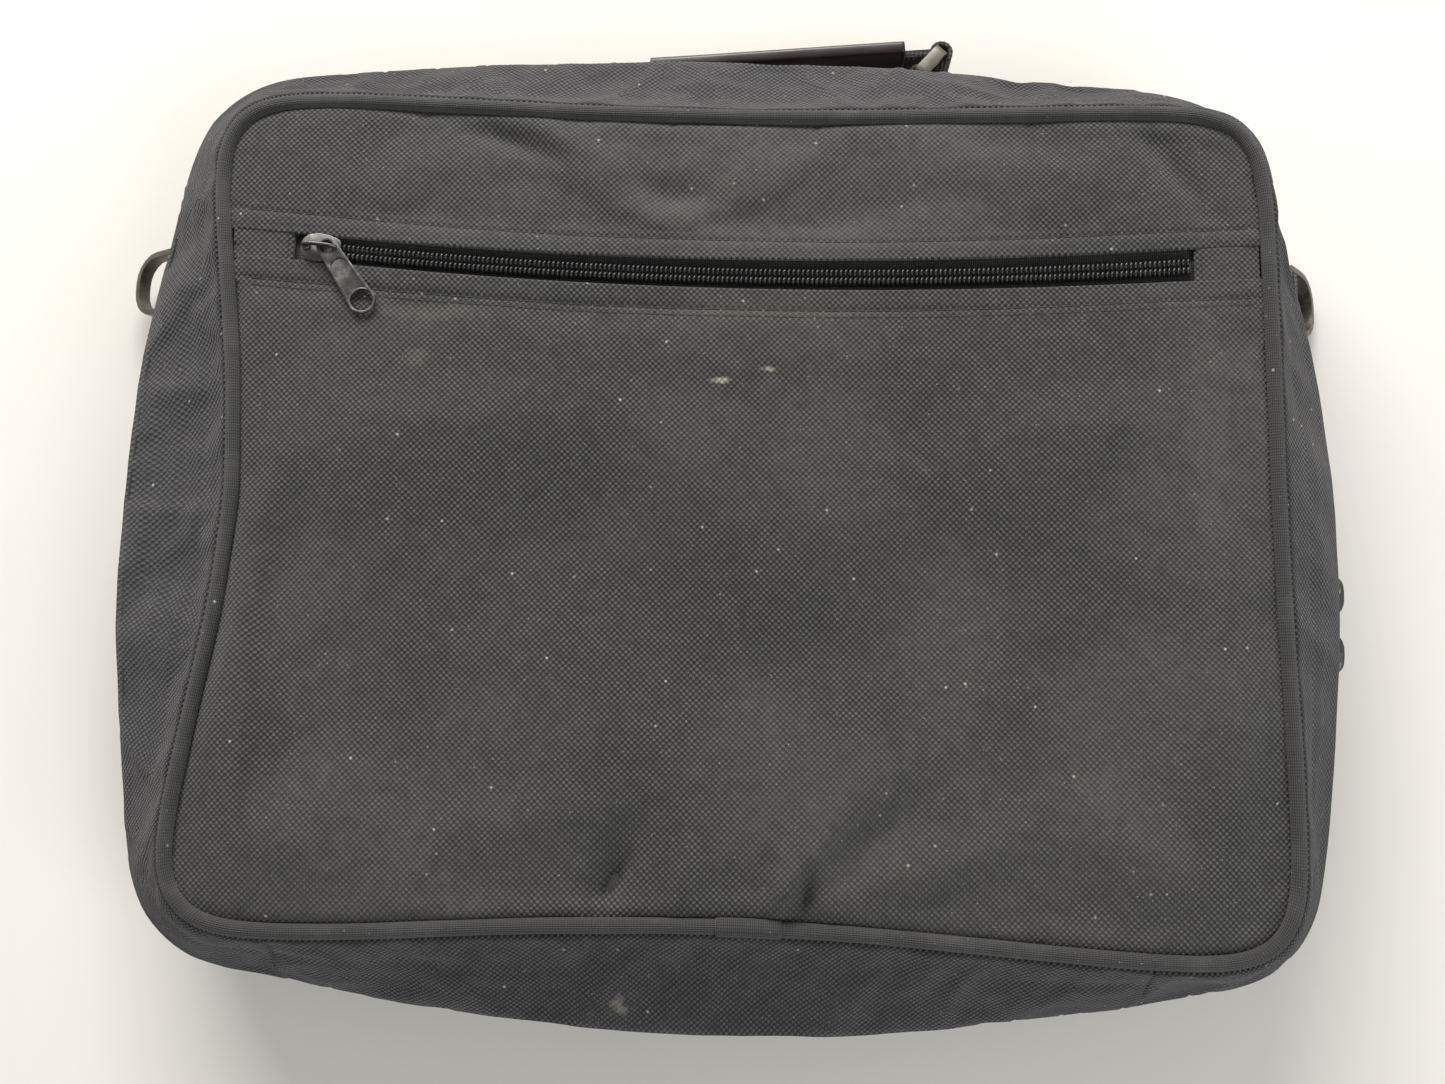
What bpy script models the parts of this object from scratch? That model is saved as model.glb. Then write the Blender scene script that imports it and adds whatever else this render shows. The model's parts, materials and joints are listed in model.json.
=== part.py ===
"""Soft-sided laptop case, empty and closed, lying on its back panel.

The frame: +Z points away from the floor, +Y towards the carrying handle, +X along the
width. The origin is the middle of the back panel's outer face, on the floor. Two
halves, back and front, each have a piped panel and a padded side wall (the gusset).
A zip joins them round the left, top and right sides, and the bottom gusset folds.
"""

import math

import bmesh
import bpy
import numpy as np

MM = 0.001

# Overall sizes, between the centre lines of the piping on a panel.
PANEL_WIDTH = 340 * MM
PANEL_HEIGHT = 268 * MM
FRONT_HEIGHT = 60 * MM  # floor to the front piping, with the case slumped
ZIP_HEIGHT = 33 * MM  # floor to the plane where the halves part
SIDE_BULGE = 15 * MM  # how far the gusset stands out past the panel at its corners
TOP_BULGE = 18 * MM
BOTTOM_BULGE = 11 * MM

# The slump of the empty case: how far each corner and side has moved.
FRONT_CORNER_SHIFTS = {"bl": (-1, 2), "tl": (0.5, 0), "tr": (-1, -1), "br": (2.5, -1.5)}
ZIP_CORNER_SHIFTS = {"bl": (-4, 0), "tl": (-1, 1), "tr": (-8, -2), "br": (2, 0)}
FRONT_BOWS = {"left": -18, "top": -6.8, "right": -2, "bottom": -7.6}
ZIP_BOWS = {"left": 14, "top": 8.5, "right": 14, "bottom": 18}
BACK_BOWS = {"left": -4, "top": -3, "right": -2, "bottom": -3}
CORNER_RADIUS = 22 * MM
ZIP_CORNER_RADIUS = 34 * MM
FRONT_FULLNESS = 0.6  # 0 is a straight wall between the seams, 1 a quarter ellipse
BACK_FULLNESS = 0.15
PANEL_CROWN = 3.4 * MM
BOTTOM_SEAMS = (0.06, 0.97)  # right and left ends of the bottom gusset, along its side

# Fabric, cord and padding.
GAP = 0.3 * MM
FABRIC = 1.2 * MM
GUSSET_FABRIC = 1.4 * MM
PIPING_RADIUS = 2.4 * MM
FOAM = 5 * MM
GUSSET_FOAM = 3 * MM
BOARD = 1.4 * MM
LINING = 0.6 * MM
INNER_MARGIN = 9 * MM  # from the piping in to the edge of the pads and boards
POCKET_DEPTH = 6.5 * MM
SLEEVE_DEPTH = 16 * MM
SLEEVE_WALL = 4 * MM
SLEEVE_WIDTH = 296 * MM
SLEEVE_TOP = 78 * MM
ACCESSORY_WIDTH = 220 * MM
ACCESSORY_HEIGHT = 150 * MM
ACCESSORY_DEPTH = 6.2 * MM
ACCESSORY_FABRIC = 0.8 * MM
STRAP_WIDTH = 38 * MM
STRAP_THICKNESS = 1.3 * MM
SLEEVE_STRAP_LENGTH = 40 * MM

# The zips.
TAPE = 0.8 * MM
COIL_RADIUS = 1.0 * MM
MAIN_COIL_INSET = 3.2 * MM  # the coil lies in a valley under the front half's bulge
MAIN_COIL_INSET_LEFT = 0.6 * MM  # but shows along the left side
BACK_TUCK = 2.6 * MM  # how far the back half's bulge stays behind the front half's
BACK_TUCK_LEFT = 0.4 * MM
LIP_INSET = 1.6 * MM
BULGE_FROM_ZIP = 8.5 * MM
MAIN_TAPE_WIDTH = 9 * MM
POCKET_ZIP_SAG_RADIUS = 1582 * MM
POCKET_ZIP_LOWEST = (12 * MM, PANEL_HEIGHT * 0.27612)
POCKET_WINDOW_ENDS = (-PANEL_WIDTH / 2 + 28.5 * MM, PANEL_WIDTH / 2 - 25.2 * MM)
POCKET_TAPE_WIDTH = 28 * MM
POCKET_TAPE_SHORT = PANEL_WIDTH * 0.0124  # from the panel's edge in to the tape's end
POCKET_CHAIN_WIDTH = 6 * MM
POCKET_CHAIN_HEIGHT = 2.2 * MM
SLIDER_LENGTH = 13 * MM
SLIDER_WIDTH = 9.4 * MM
POCKET_WINDOW = SLIDER_WIDTH + 1.2 * MM
SLIDER_PLATE = 1.1 * MM
PULL_LENGTH = 29 * MM
PULL_TOP_WIDTH = 7 * MM
PULL_END_WIDTH = 9 * MM
PULL_THICKNESS = 1.4 * MM
PULL_HOLE = 7 * MM
PULL_EYE = 4 * MM
PULL_POST = 1.6 * MM
POCKET_SLIDER_X = POCKET_WINDOW_ENDS[0] + 8 * MM
POCKET_PULL_ANGLE = -55
MAIN_SLIDERS_MEET_Y = -30 * MM
MAIN_SLIDER_SPACING = 17 * MM

# The carrying handle, standing on its edge behind the top gusset.
RING_STOCK = 2 * MM
RING_STOCK_WIDTH = 4.5 * MM
HANDLE_RING_LENGTH = 20 * MM
HANDLE_RING_REACH = 11.8 * MM  # between the centres of the ring's two long legs
HANDLE_RING_ANGLE = 48.4
HANDLE_RING_HEIGHT = 10.8 * MM
HANDLE_LENGTH = 116.9 * MM
HANDLE_TILT = 4.7
HANDLE_RIGHT_RING_X = 62.77 * MM
HANDLE_STANDOFF = 13.18 * MM  # from the case's top edge out to the right ring's pivot
HANDLE_WEBBING = 15 * MM
LOOP_CLEARANCE = 0.35 * MM
GRIP_LENGTH = 90 * MM
GRIP_HEIGHT = 24 * MM
GRIP_THICKNESS = 4 * MM
GRIP_FROM_RIGHT = 13.5 * MM

# The rings for the shoulder strap.
STRAP_RING_WIDTH = 23 * MM
STRAP_RING_REACH = 20 * MM
STRAP_RING_Y = 85 * MM
STRAP_RING_HEIGHT = 18 * MM
STRAP_RING_STANDOFF = 9 * MM  # from the back gusset's middle out to the hinge leg
STRAP_RING_DROPS = {"left": 32, "right": 50}  # degrees below the horizontal
STRAP_TAB_WIDTH = 15 * MM
STRAP_TAB_DROP = 0.35  # slope of the tab's tail, down to where it is sewn
RING_TIGHT_CORNER = 2 * MM
STRAP_RING_ROUND_CORNER = 9 * MM

# Steps round the case: the end stubs, a corner, the short, long and bottom sides.
STUB_STEPS, CORNER_STEPS, SIDE_STEPS, TOP_STEPS, BOTTOM_STEPS = 1, 5, 6, 6, 9

case = bpy.data.collections.new("laptop_case")
cutters = bpy.data.collections.new("cutters")
materials = {}


def clear_scene():
    for item in list(bpy.data.objects):
        bpy.data.objects.remove(item, do_unlink=True)
    for collection in (case, cutters):
        bpy.context.scene.collection.children.link(collection)
    cutters.hide_render = True


def make_material(name, colour, roughness, metallic=0.0):
    material = bpy.data.materials.new(name)
    material.use_nodes = True
    shader = material.node_tree.nodes["Principled BSDF"]
    shader.inputs["Base Color"].default_value = (*colour, 1)
    shader.inputs["Roughness"].default_value = roughness
    shader.inputs["Metallic"].default_value = metallic
    materials[name] = material


def make_materials():
    make_material("woven_black", (0.035, 0.035, 0.035), 0.9)
    make_material("piping_black", (0.045, 0.045, 0.045), 0.85)
    make_material("lining_grey", (0.06, 0.06, 0.065), 0.8)
    make_material("zip_tape_black", (0.02, 0.02, 0.022), 0.85)
    make_material("coil_black", (0.015, 0.015, 0.015), 0.3)
    make_material("gunmetal", (0.19, 0.18, 0.17), 0.38, 0.9)
    make_material("nickel", (0.42, 0.4, 0.37), 0.35, 1.0)
    make_material("vinyl_brown_black", (0.02, 0.016, 0.016), 0.32)
    make_material("webbing_black", (0.02, 0.02, 0.02), 0.85)
    make_material("foam_grey", (0.16, 0.16, 0.17), 0.95)
    make_material("board_black", (0.03, 0.03, 0.03), 0.6)


# ---------------------------------------------------------------- outlines


def corners_of(width, height, outward, shifts):
    """The four corners of a seam, moved out sideways, up and down, and then shifted."""
    side, top, bottom = outward
    plain = {
        "bl": (-width / 2 - side, -height / 2 - bottom),
        "tl": (-width / 2 - side, height / 2 + top),
        "tr": (width / 2 + side, height / 2 + top),
        "br": (width / 2 + side, -height / 2 - bottom),
    }
    return {
        key: np.array(plain[key]) + np.array(shifts.get(key, (0, 0))) * MM
        for key in plain
    }


def bowed_side(start, end, bow, shape, fractions):
    along = end - start
    outward = np.array([-along[1], along[0]]) / np.linalg.norm(along)
    return [start + along * t + outward * bow * shape(t) for t in fractions]


def corner_curve(before, corner, after):
    """A rounded corner, as the cubic whose handles come nearest to a circle."""
    handle = 0.5523
    first = before + (corner - before) * handle
    second = after + (corner - after) * handle
    return [
        before * (1 - t) ** 3
        + first * 3 * t * (1 - t) ** 2
        + second * 3 * t**2 * (1 - t)
        + after * t**3
        for t in np.linspace(0, 1, CORNER_STEPS + 1)[:-1]
    ]


def ends_at(t):
    """A bow that leaves both corners without a kink."""
    return math.sin(math.pi * t) ** 2


def arched(t):
    """A bow that is an even arch from corner to corner."""
    return 4 * t * (1 - t)


def seam_loop(corners, bows, shape, radius):
    """A closed seam, clockwise from above, from the bottom gusset's left end."""
    bl, tl, tr, br = (corners[key] for key in ("bl", "tl", "tr", "br"))
    sides = {}
    for name, start, end in (
        ("left", bl, tl),
        ("top", tl, tr),
        ("right", tr, br),
        ("bottom", br, bl),
    ):
        cut = (end - start) / np.linalg.norm(end - start) * radius
        sides[name] = (start + cut, end - cut)
    right_seam, left_seam = BOTTOM_SEAMS
    spans = {
        "left_stub": ("bottom", np.linspace(left_seam, 1, STUB_STEPS + 1)),
        "left": ("left", np.linspace(0, 1, SIDE_STEPS + 1)),
        "top": ("top", np.linspace(0, 1, TOP_STEPS + 1)),
        "right": ("right", np.linspace(0, 1, SIDE_STEPS + 1)),
        "right_stub": ("bottom", np.linspace(0, right_seam, STUB_STEPS + 1)),
        "bottom": ("bottom", np.linspace(right_seam, left_seam, BOTTOM_STEPS + 1)),
    }
    runs = {
        name: bowed_side(*sides[side], bows[side] * MM, shape, fractions[:-1])
        for name, (side, fractions) in spans.items()
    }
    turns = {
        "bl": corner_curve(sides["bottom"][1], bl, sides["left"][0]),
        "tl": corner_curve(sides["left"][1], tl, sides["top"][0]),
        "tr": corner_curve(sides["top"][1], tr, sides["right"][0]),
        "br": corner_curve(sides["right"][1], br, sides["bottom"][0]),
    }
    points = (
        runs["left_stub"] + turns["bl"] + runs["left"] + turns["tl"] + runs["top"]
        + turns["tr"] + runs["right"] + turns["br"] + runs["right_stub"] + runs["bottom"]
    )
    return relaxed(np.array(points))


def relaxed(points, rounds=2):
    """Evens out the small kinks where a corner meets a bowed side."""
    for _ in range(rounds):
        points = (np.roll(points, 1, axis=0) + 2 * points + np.roll(points, -1, axis=0)) / 4
    return points


def outset(points, distance):
    """The closed outline moved out by a distance."""
    along = np.roll(points, -1, axis=0) - np.roll(points, 1, axis=0)
    outward = np.stack([-along[:, 1], along[:, 0]], axis=1)
    outward /= np.linalg.norm(outward, axis=1, keepdims=True)
    return points + outward * np.reshape(distance, (-1, 1))


STRIP_STEPS = 2 * STUB_STEPS + 4 * CORNER_STEPS + 2 * SIDE_STEPS + TOP_STEPS


def part_of(points, part):
    """The zipped strip round three sides, the bottom gusset, or the whole loop."""
    if part == "strip":
        return points[: STRIP_STEPS + 1]
    if part == "bottom":
        return np.concatenate([points[STRIP_STEPS:], points[:1]])
    return points


def at_height(points, z):
    return np.column_stack([points, np.full(len(points), z)])


front_seam = seam_loop(
    corners_of(PANEL_WIDTH, PANEL_HEIGHT, (0, 0, 0), FRONT_CORNER_SHIFTS),
    FRONT_BOWS, ends_at, CORNER_RADIUS,
)
zip_corners = corners_of(
    PANEL_WIDTH, PANEL_HEIGHT, (SIDE_BULGE, TOP_BULGE, BOTTOM_BULGE), ZIP_CORNER_SHIFTS
)
bulge_line = seam_loop(zip_corners, ZIP_BOWS, arched, ZIP_CORNER_RADIUS)
back_seam = seam_loop(
    corners_of(PANEL_WIDTH, PANEL_HEIGHT, (0, 0, 0), {}),
    BACK_BOWS, ends_at, CORNER_RADIUS,
)


def inset_by_side(left, elsewhere):
    """The bulge's outline moved in, by one distance on the left and another elsewhere."""
    turning = (bulge_line[:, 0].min() + 12 * MM, bulge_line[:, 0].min() + 50 * MM)
    return outset(bulge_line, -np.interp(bulge_line[:, 0], turning, (left, elsewhere)))


coil_line = inset_by_side(MAIN_COIL_INSET_LEFT, MAIN_COIL_INSET)
back_bulge_line = inset_by_side(BACK_TUCK_LEFT, BACK_TUCK)
HINGE_Y = bulge_line[:, 1].min() - 0.5 * MM


# ---------------------------------------------------------------- mesh helpers


def finish(item, material, smooth=True):
    item.data.materials.clear()
    item.data.materials.append(materials[material])
    if smooth and item.type == "MESH":
        item.data.shade_smooth()
        item.data.set_sharp_from_angle(angle=math.radians(40))
    return item


def mesh_object(name, vertices, faces, material, smooth=True):
    mesh = bpy.data.meshes.new(name)
    mesh.from_pydata([tuple(v) for v in vertices], [], faces)
    item = bpy.data.objects.new(name, mesh)
    case.objects.link(item)
    return finish(item, material, smooth)


def solidified(item, thickness, offset=-1.0):
    modifier = item.modifiers.new("thickness", "SOLIDIFY")
    modifier.thickness = thickness
    modifier.offset = offset
    modifier.use_even_offset = True
    return item


def loft(name, rows, thickness, material):
    """A sheet through rows of points, whose thickness goes to the rows' inner side."""
    across = len(rows[0])
    vertices = np.concatenate(rows)
    faces = []
    for row in range(len(rows) - 1):
        for column in range(across - 1):
            a = row * across + column
            faces.append((a, a + 1, a + across + 1, a + across))
    return solidified(mesh_object(name, vertices, faces, material), thickness)


def moved_in(rows, distance):
    """A lofted surface's rows moved towards the inside of the case."""
    grid = np.array(rows)
    along = np.gradient(grid, axis=1)
    down = np.gradient(grid, axis=0)
    normal = np.cross(along, down)
    normal /= np.linalg.norm(normal, axis=2, keepdims=True)
    return list(grid - normal * distance)


def cord(name, points, radius, material, closed=False):
    curve = bpy.data.curves.new(name, "CURVE")
    curve.dimensions = "3D"
    spline = curve.splines.new("POLY")
    spline.points.add(len(points) - 1)
    for point, place in zip(spline.points, points):
        point.co = (*place, 1)
    spline.use_cyclic_u = closed
    curve.bevel_depth = radius
    curve.bevel_resolution = 1
    curve.use_fill_caps = True
    item = bpy.data.objects.new(name, curve)
    case.objects.link(item)
    return finish(item, material)


def flat_piece(name, outlines, low, thickness, material, place=None):
    """A flat outline, with its holes, as a 2D curve extruded both ways."""
    curve = bpy.data.curves.new(name, "CURVE")
    curve.dimensions = "2D"
    curve.fill_mode = "BOTH"
    curve.extrude = thickness / 2
    for outline in outlines:
        spline = curve.splines.new("POLY")
        spline.points.add(len(outline) - 1)
        for point, (x, y) in zip(spline.points, outline):
            point.co = (x, y, 0, 1)
        spline.use_cyclic_u = True
    item = bpy.data.objects.new(name, curve)
    case.objects.link(item)
    item.location = (0, 0, low + thickness / 2)
    if place:
        item.location, item.rotation_euler = place
    return finish(item, material)


def as_mesh(item):
    """Replaces a curve by the mesh that it makes, with its caps welded."""
    bpy.context.view_layer.update()
    graph = bpy.context.evaluated_depsgraph_get()
    mesh = bpy.data.meshes.new_from_object(item.evaluated_get(graph))
    shaped = bmesh.new()
    shaped.from_mesh(mesh)
    bmesh.ops.remove_doubles(shaped, verts=shaped.verts, dist=1e-6)
    bmesh.ops.recalc_face_normals(shaped, faces=shaped.faces)
    shaped.to_mesh(mesh)
    shaped.free()
    made = bpy.data.objects.new(item.name, mesh)
    made.matrix_world = item.matrix_world.copy()
    name = item.name
    case.objects.link(made)
    bpy.data.objects.remove(item, do_unlink=True)
    made.name = name
    return made


def box(name, low, high, material, collection=case):
    shaped = bmesh.new()
    bmesh.ops.create_cube(shaped, size=1)
    size = np.subtract(high, low)
    bmesh.ops.scale(shaped, vec=size, verts=shaped.verts)
    mesh = bpy.data.meshes.new(name)
    shaped.to_mesh(mesh)
    shaped.free()
    item = bpy.data.objects.new(name, mesh)
    item.location = np.add(low, high) / 2
    collection.objects.link(item)
    return finish(item, material, smooth=False)


def rounded(item, width, segments=2):
    modifier = item.modifiers.new("rounding", "BEVEL")
    modifier.width = width
    modifier.segments = segments
    modifier.limit_method = "ANGLE"
    return item


def cut(item, cutter):
    cutter.hide_render = True
    cutter.display_type = "WIRE"
    modifier = item.modifiers.new("cut", "BOOLEAN")
    modifier.operation = "DIFFERENCE"
    modifier.object = cutter
    return item


def arc(centre, radius, start, end, steps):
    angles = np.radians(np.linspace(start, end, steps + 1))
    return [
        (centre[0] + radius * math.cos(a), centre[1] + radius * math.sin(a)) for a in angles
    ]


# ---------------------------------------------------------------- side walls


PADDED_SHARE = (0.3, 0.7)  # the stretch of a wall, from panel to zip, that is padded


def wall_rows(panel_seam, panel_z, towards, fullness, steps, start=0.0, end=1.0):
    """Rows from just outside a panel's piping to the bulge beside the zip.

    towards is 1 where the panel is above the zip, and -1 where it is below.
    """
    edge = outset(panel_seam, PIPING_RADIUS + GAP + (1 - fullness) * GUSSET_FABRIC)
    edge_z = panel_z - towards * 0.5 * MM
    bulge = bulge_line if towards > 0 else back_bulge_line
    bulge_z = ZIP_HEIGHT + towards * BULGE_FROM_ZIP
    rows = []
    for s in np.linspace(start, end, steps + 1):
        out = s + (math.sin(math.pi * s / 2) - s) * fullness
        fall = s + (1 - math.cos(math.pi * s / 2) - s) * fullness
        rows.append(
            at_height(edge + (bulge - edge) * out, edge_z + (bulge_z - edge_z) * fall)
        )
    return rows


def lip_row(towards):
    """The wall's last row, turned in towards the coil."""
    bulge = bulge_line if towards > 0 else back_bulge_line
    inset = LIP_INSET if towards > 0 else 0.5 * LIP_INSET
    return at_height(
        outset(bulge, -inset), ZIP_HEIGHT + towards * (SLIDER_WIDTH / 2 + 2 * GAP)
    )


def cut_rows(rows, part, towards):
    """The rows of one part, ordered so that the sheet's front faces out."""
    kept = [
        np.column_stack([part_of(row[:, :2], part), np.full(len(part_of(row, part)), row[0, 2])])
        for row in rows
    ]
    return kept if towards > 0 else kept[::-1]


def trimmed(rows):
    """The rows with their first and last points drawn in, to leave a gap at the seam."""
    short = []
    for row in rows:
        row = row.copy()
        for end, inner in ((0, 1), (-1, -2)):
            step = row[inner] - row[end]
            row[end] += step / np.linalg.norm(step) * GAP / 2
        short.append(row)
    return short


def make_walls(half, panel_seam, panel_z, towards, fullness):
    outer = wall_rows(panel_seam, panel_z, towards, fullness, 4) + [lip_row(towards)]
    inner = wall_rows(panel_seam, panel_z, towards, fullness, 3, *PADDED_SHARE)
    for part, name in (("strip", f"{half}_gusset"), ("bottom", f"bottom_gusset_{half}")):
        rows = trimmed(cut_rows(outer, part, towards))
        loft(name, rows, GUSSET_FABRIC, "woven_black")
        lining = trimmed(cut_rows(inner, part, towards))
        lining = moved_in(lining, GUSSET_FABRIC + 2 * GAP)
        lining_name = f"{name}_padding"
        loft(lining_name, lining, GUSSET_FOAM, "lining_grey")


def make_main_zip(half, towards):
    """One half of the main zip: its coil, and the tape that the coil is sewn to."""
    coil_z = ZIP_HEIGHT + towards * (COIL_RADIUS + GAP / 2)
    path = part_of(outset(coil_line, -COIL_RADIUS), "strip")
    cord(f"main_zip_coil_{half}", at_height(path, coil_z), COIL_RADIUS, "coil_black")
    behind = part_of(outset(coil_line, -2 * COIL_RADIUS - GAP), "strip")
    edge = at_height(behind, ZIP_HEIGHT + towards * GAP / 2)
    middle = at_height(behind, ZIP_HEIGHT + towards * MAIN_TAPE_WIDTH * 0.4)
    drawn_in = part_of(outset(coil_line, -2 * COIL_RADIUS - GAP - 4 * MM), "strip")
    far = at_height(drawn_in, ZIP_HEIGHT + towards * MAIN_TAPE_WIDTH)
    rows = [far, middle, edge] if towards > 0 else [edge, middle, far]
    loft(f"main_zip_tape_{half}", rows, TAPE, "zip_tape_black")


# ---------------------------------------------------------------- front panel


def panel_height(x, y):
    """The middle of the front panel's fabric, crowned like a thin pillow."""
    u = min(abs(x) / (PANEL_WIDTH / 2), 1)
    v = min(abs(y) / (PANEL_HEIGHT / 2), 1)
    return FRONT_HEIGHT + PANEL_CROWN * (1 - u**6) * (1 - v**6)


def zip_line_y(x):
    """The sagging centre line of the pocket's zip."""
    lowest_x, lowest_y = POCKET_ZIP_LOWEST
    run = x - lowest_x
    radius = POCKET_ZIP_SAG_RADIUS
    return lowest_y + radius - math.sqrt(radius**2 - run**2)


def clipped(outline, edge_offset, keep_below):
    """The part of an outline on one side of a line beside the pocket's zip."""
    sign = -1 if keep_below else 1

    def over(point):
        return sign * (point[1] - zip_line_y(point[0]) - edge_offset)

    kept, ends = [], []
    for here, after in zip(outline, np.roll(outline, -1, axis=0)):
        if over(here) > 0:
            kept.append(tuple(here))
        if (over(here) > 0) != (over(after) > 0):
            share = over(here) / (over(here) - over(after))
            crossing = here + (after - here) * share
            ends.append((tuple(crossing), over(here) > 0, len(kept)))
    leaving = next(end for end in ends if end[1])
    entering = next(end for end in ends if not end[1])
    xs = np.linspace(leaving[0][0], entering[0][0], 13)
    edge = [(x, zip_line_y(x) + edge_offset) for x in xs]
    split = leaving[2]
    return np.array(kept[:split] + edge + kept[split:])


def crowned_sheet(name, outline, insets, material, low=0.0):
    """A sheet on the crowned surface, from rings that shrink to the middle."""
    centre = outline.mean(axis=0)
    count = len(outline)
    vertices, faces = [], []
    for ring in insets:
        for x, y in outline + (centre - outline) * ring:
            vertices.append((x, y, panel_height(x, y) + FABRIC / 2 - low))
    for ring in range(len(insets) - 1):
        for i in range(count):
            a = ring * count + i
            b = ring * count + (i + 1) % count
            faces.append((a, b, b + count, a + count))
    middle = len(vertices)
    vertices.append((*centre, panel_height(*centre) + FABRIC / 2 - low))
    last = (len(insets) - 1) * count
    for i in range(count):
        faces.append((last + i, last + (i + 1) % count, middle))
    faces = [face[::-1] for face in faces]
    return solidified(mesh_object(name, vertices, faces, material), FABRIC)


def make_front_panel():
    outline = outset(front_seam, -PIPING_RADIUS - GAP)
    half = POCKET_WINDOW / 2
    insets = (0.0, 0.07, 0.2, 0.45, 0.75)
    crowned_sheet("front_panel_lower", clipped(outline, -half, True), insets, "woven_black")
    crowned_sheet("front_panel_upper", clipped(outline, half, False), insets, "woven_black")


def band(name, x_ends, offsets, z_of, thickness, steps, material):
    """A strip that follows the pocket's zip line between two offsets from it."""
    xs = np.linspace(*x_ends, steps + 1)
    rows = []
    for offset in offsets[::-1]:
        rows.append(np.array([(x, zip_line_y(x) + offset, z_of(x)) for x in xs]))
    item = loft(name, rows, thickness, material)
    item.data.flip_normals()
    return item


ZIP_TAPE_TOP = FRONT_HEIGHT
CHAIN_TOP = ZIP_TAPE_TOP + GAP + POCKET_CHAIN_HEIGHT


def inner_edge_x(side):
    """Where the pocket's zip line meets the inside of the piping."""
    outline = outset(front_seam, -PIPING_RADIUS - GAP)
    near = outline[np.abs(outline[:, 1] - POCKET_ZIP_LOWEST[1]) < 60 * MM]
    column = near[near[:, 0] * side > 0]
    order = np.argsort(column[:, 1])
    return float(np.interp(zip_line_y(side * 0.15), column[order, 1], column[order, 0]))


def make_pocket_zip():
    left, right = POCKET_WINDOW_ENDS
    tape_half = POCKET_TAPE_WIDTH / 2
    ends = (inner_edge_x(-1) + POCKET_TAPE_SHORT, inner_edge_x(1) - POCKET_TAPE_SHORT)

    def tape_z(_x):
        return ZIP_TAPE_TOP

    band("pocket_zip_tape", ends, (-tape_half, tape_half), tape_z, TAPE, 12, "zip_tape_black")
    chain_half = POCKET_CHAIN_WIDTH / 2
    chain_ends = (POCKET_SLIDER_X + SLIDER_LENGTH * 0.1, right - 1 * MM)

    def chain_z(_x):
        return CHAIN_TOP

    band(
        "pocket_zip_coil", chain_ends, (-chain_half, chain_half), chain_z,
        POCKET_CHAIN_HEIGHT, 16, "coil_black",
    )
    reach = POCKET_WINDOW / 2 - GAP
    for name, inner, side in (("left", left, -1), ("right", right, 1)):
        outer = inner_edge_x(side) - side * GAP
        low, high = sorted((inner, outer))

        def tab_z(x):
            return panel_height(x, zip_line_y(x)) + FABRIC / 2

        band(f"pocket_end_tab_{name}", (low, high), (-reach, reach), tab_z, FABRIC, 4, "woven_black")


# ---------------------------------------------------------------- sliders


def slider_outline():
    """A slider's plate from above: a broad round nose and a narrower tail."""
    half, length = SLIDER_WIDTH / 2, SLIDER_LENGTH
    nose = arc((-length / 2 + half, 0), half, 90, 270, 10)
    tail_half = half * 0.72
    tail = arc((length / 2 - tail_half * 0.5, 0), tail_half, -90, 90, 6)
    return nose + tail


def post_place():
    return SLIDER_LENGTH / 2 - 3.1 * MM


def join(base, other):
    """Unites two meshes into one, with an exact Boolean."""
    bpy.context.view_layer.update()
    modifier = base.modifiers.new("join", "BOOLEAN")
    modifier.operation = "UNION"
    modifier.object = other
    graph = bpy.context.evaluated_depsgraph_get()
    mesh = bpy.data.meshes.new_from_object(base.evaluated_get(graph))
    base.modifiers.remove(modifier)
    base.data = mesh
    bpy.data.objects.remove(other, do_unlink=True)
    return base


def make_slider(name, plate_low, skirt_depth, skirts):
    """A slider in its own frame: its plate, a bail over it, and its side skirts."""
    body = as_mesh(flat_piece(name, [slider_outline()], plate_low, SLIDER_PLATE, "gunmetal"))
    top = plate_low + SLIDER_PLATE
    post = post_place()
    rise = PULL_THICKNESS + 2 * GAP + 1.2 * MM
    width = PULL_POST
    pieces = [
        ((post - width / 2, -width / 2, top - 0.5 * MM), (post + width / 2, width / 2, top + rise)),
        ((-5.2 * MM, -width / 2, top - 0.5 * MM), (-5.2 * MM + width, width / 2, top + rise)),
        ((-5.2 * MM, -width / 2, top + rise - 1.2 * MM), (post + width / 2, width / 2, top + rise)),
    ]
    for side in skirts:
        inner = POCKET_CHAIN_WIDTH / 2 + GAP
        low_y, high_y = sorted((side * inner, side * (SLIDER_WIDTH / 2 - 0.4 * MM)))
        pieces.append(
            ((-3.8 * MM, low_y, plate_low - skirt_depth), (3.6 * MM, high_y, plate_low + 0.4 * MM))
        )
    for i, (low, high) in enumerate(pieces):
        body = join(body, box(f"{name}_piece_{i}", low, high, "gunmetal"))
    return finish(body, "gunmetal", smooth=False)


def pull_outline():
    """A pull from above, its post at the origin and its length along +X."""
    top_half, end_half = PULL_TOP_WIDTH / 2, PULL_END_WIDTH / 2
    end_centre = (PULL_LENGTH - end_half - PULL_EYE / 2 - 1.5 * MM, 0)
    top = arc((0.0, 0.0), top_half, 100, 260, 8)
    end = arc(end_centre, end_half, -84, 84, 10)
    return top + end, end_centre


def make_pull(name, thickness_low):
    outline, end_centre = pull_outline()
    eye = arc((0.0, 0.0), PULL_EYE / 2, 360, 30, 11)
    hole = arc(end_centre, PULL_HOLE / 2, 360, 24, 14)
    pull = flat_piece(name, [outline, eye, hole], thickness_low, PULL_THICKNESS, "gunmetal")
    return as_mesh(pull)


def placed(name, location, rotation=(0, 0, 0), parent=None):
    """An empty on a joint's axis, which a moving piece hangs from."""
    empty = bpy.data.objects.new(name, None)
    empty.empty_display_size = 0.01
    case.objects.link(empty)
    empty.location = location
    empty.rotation_euler = rotation
    empty.parent = parent
    return empty


def hang(item, parent):
    item.parent = parent
    return item


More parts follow.
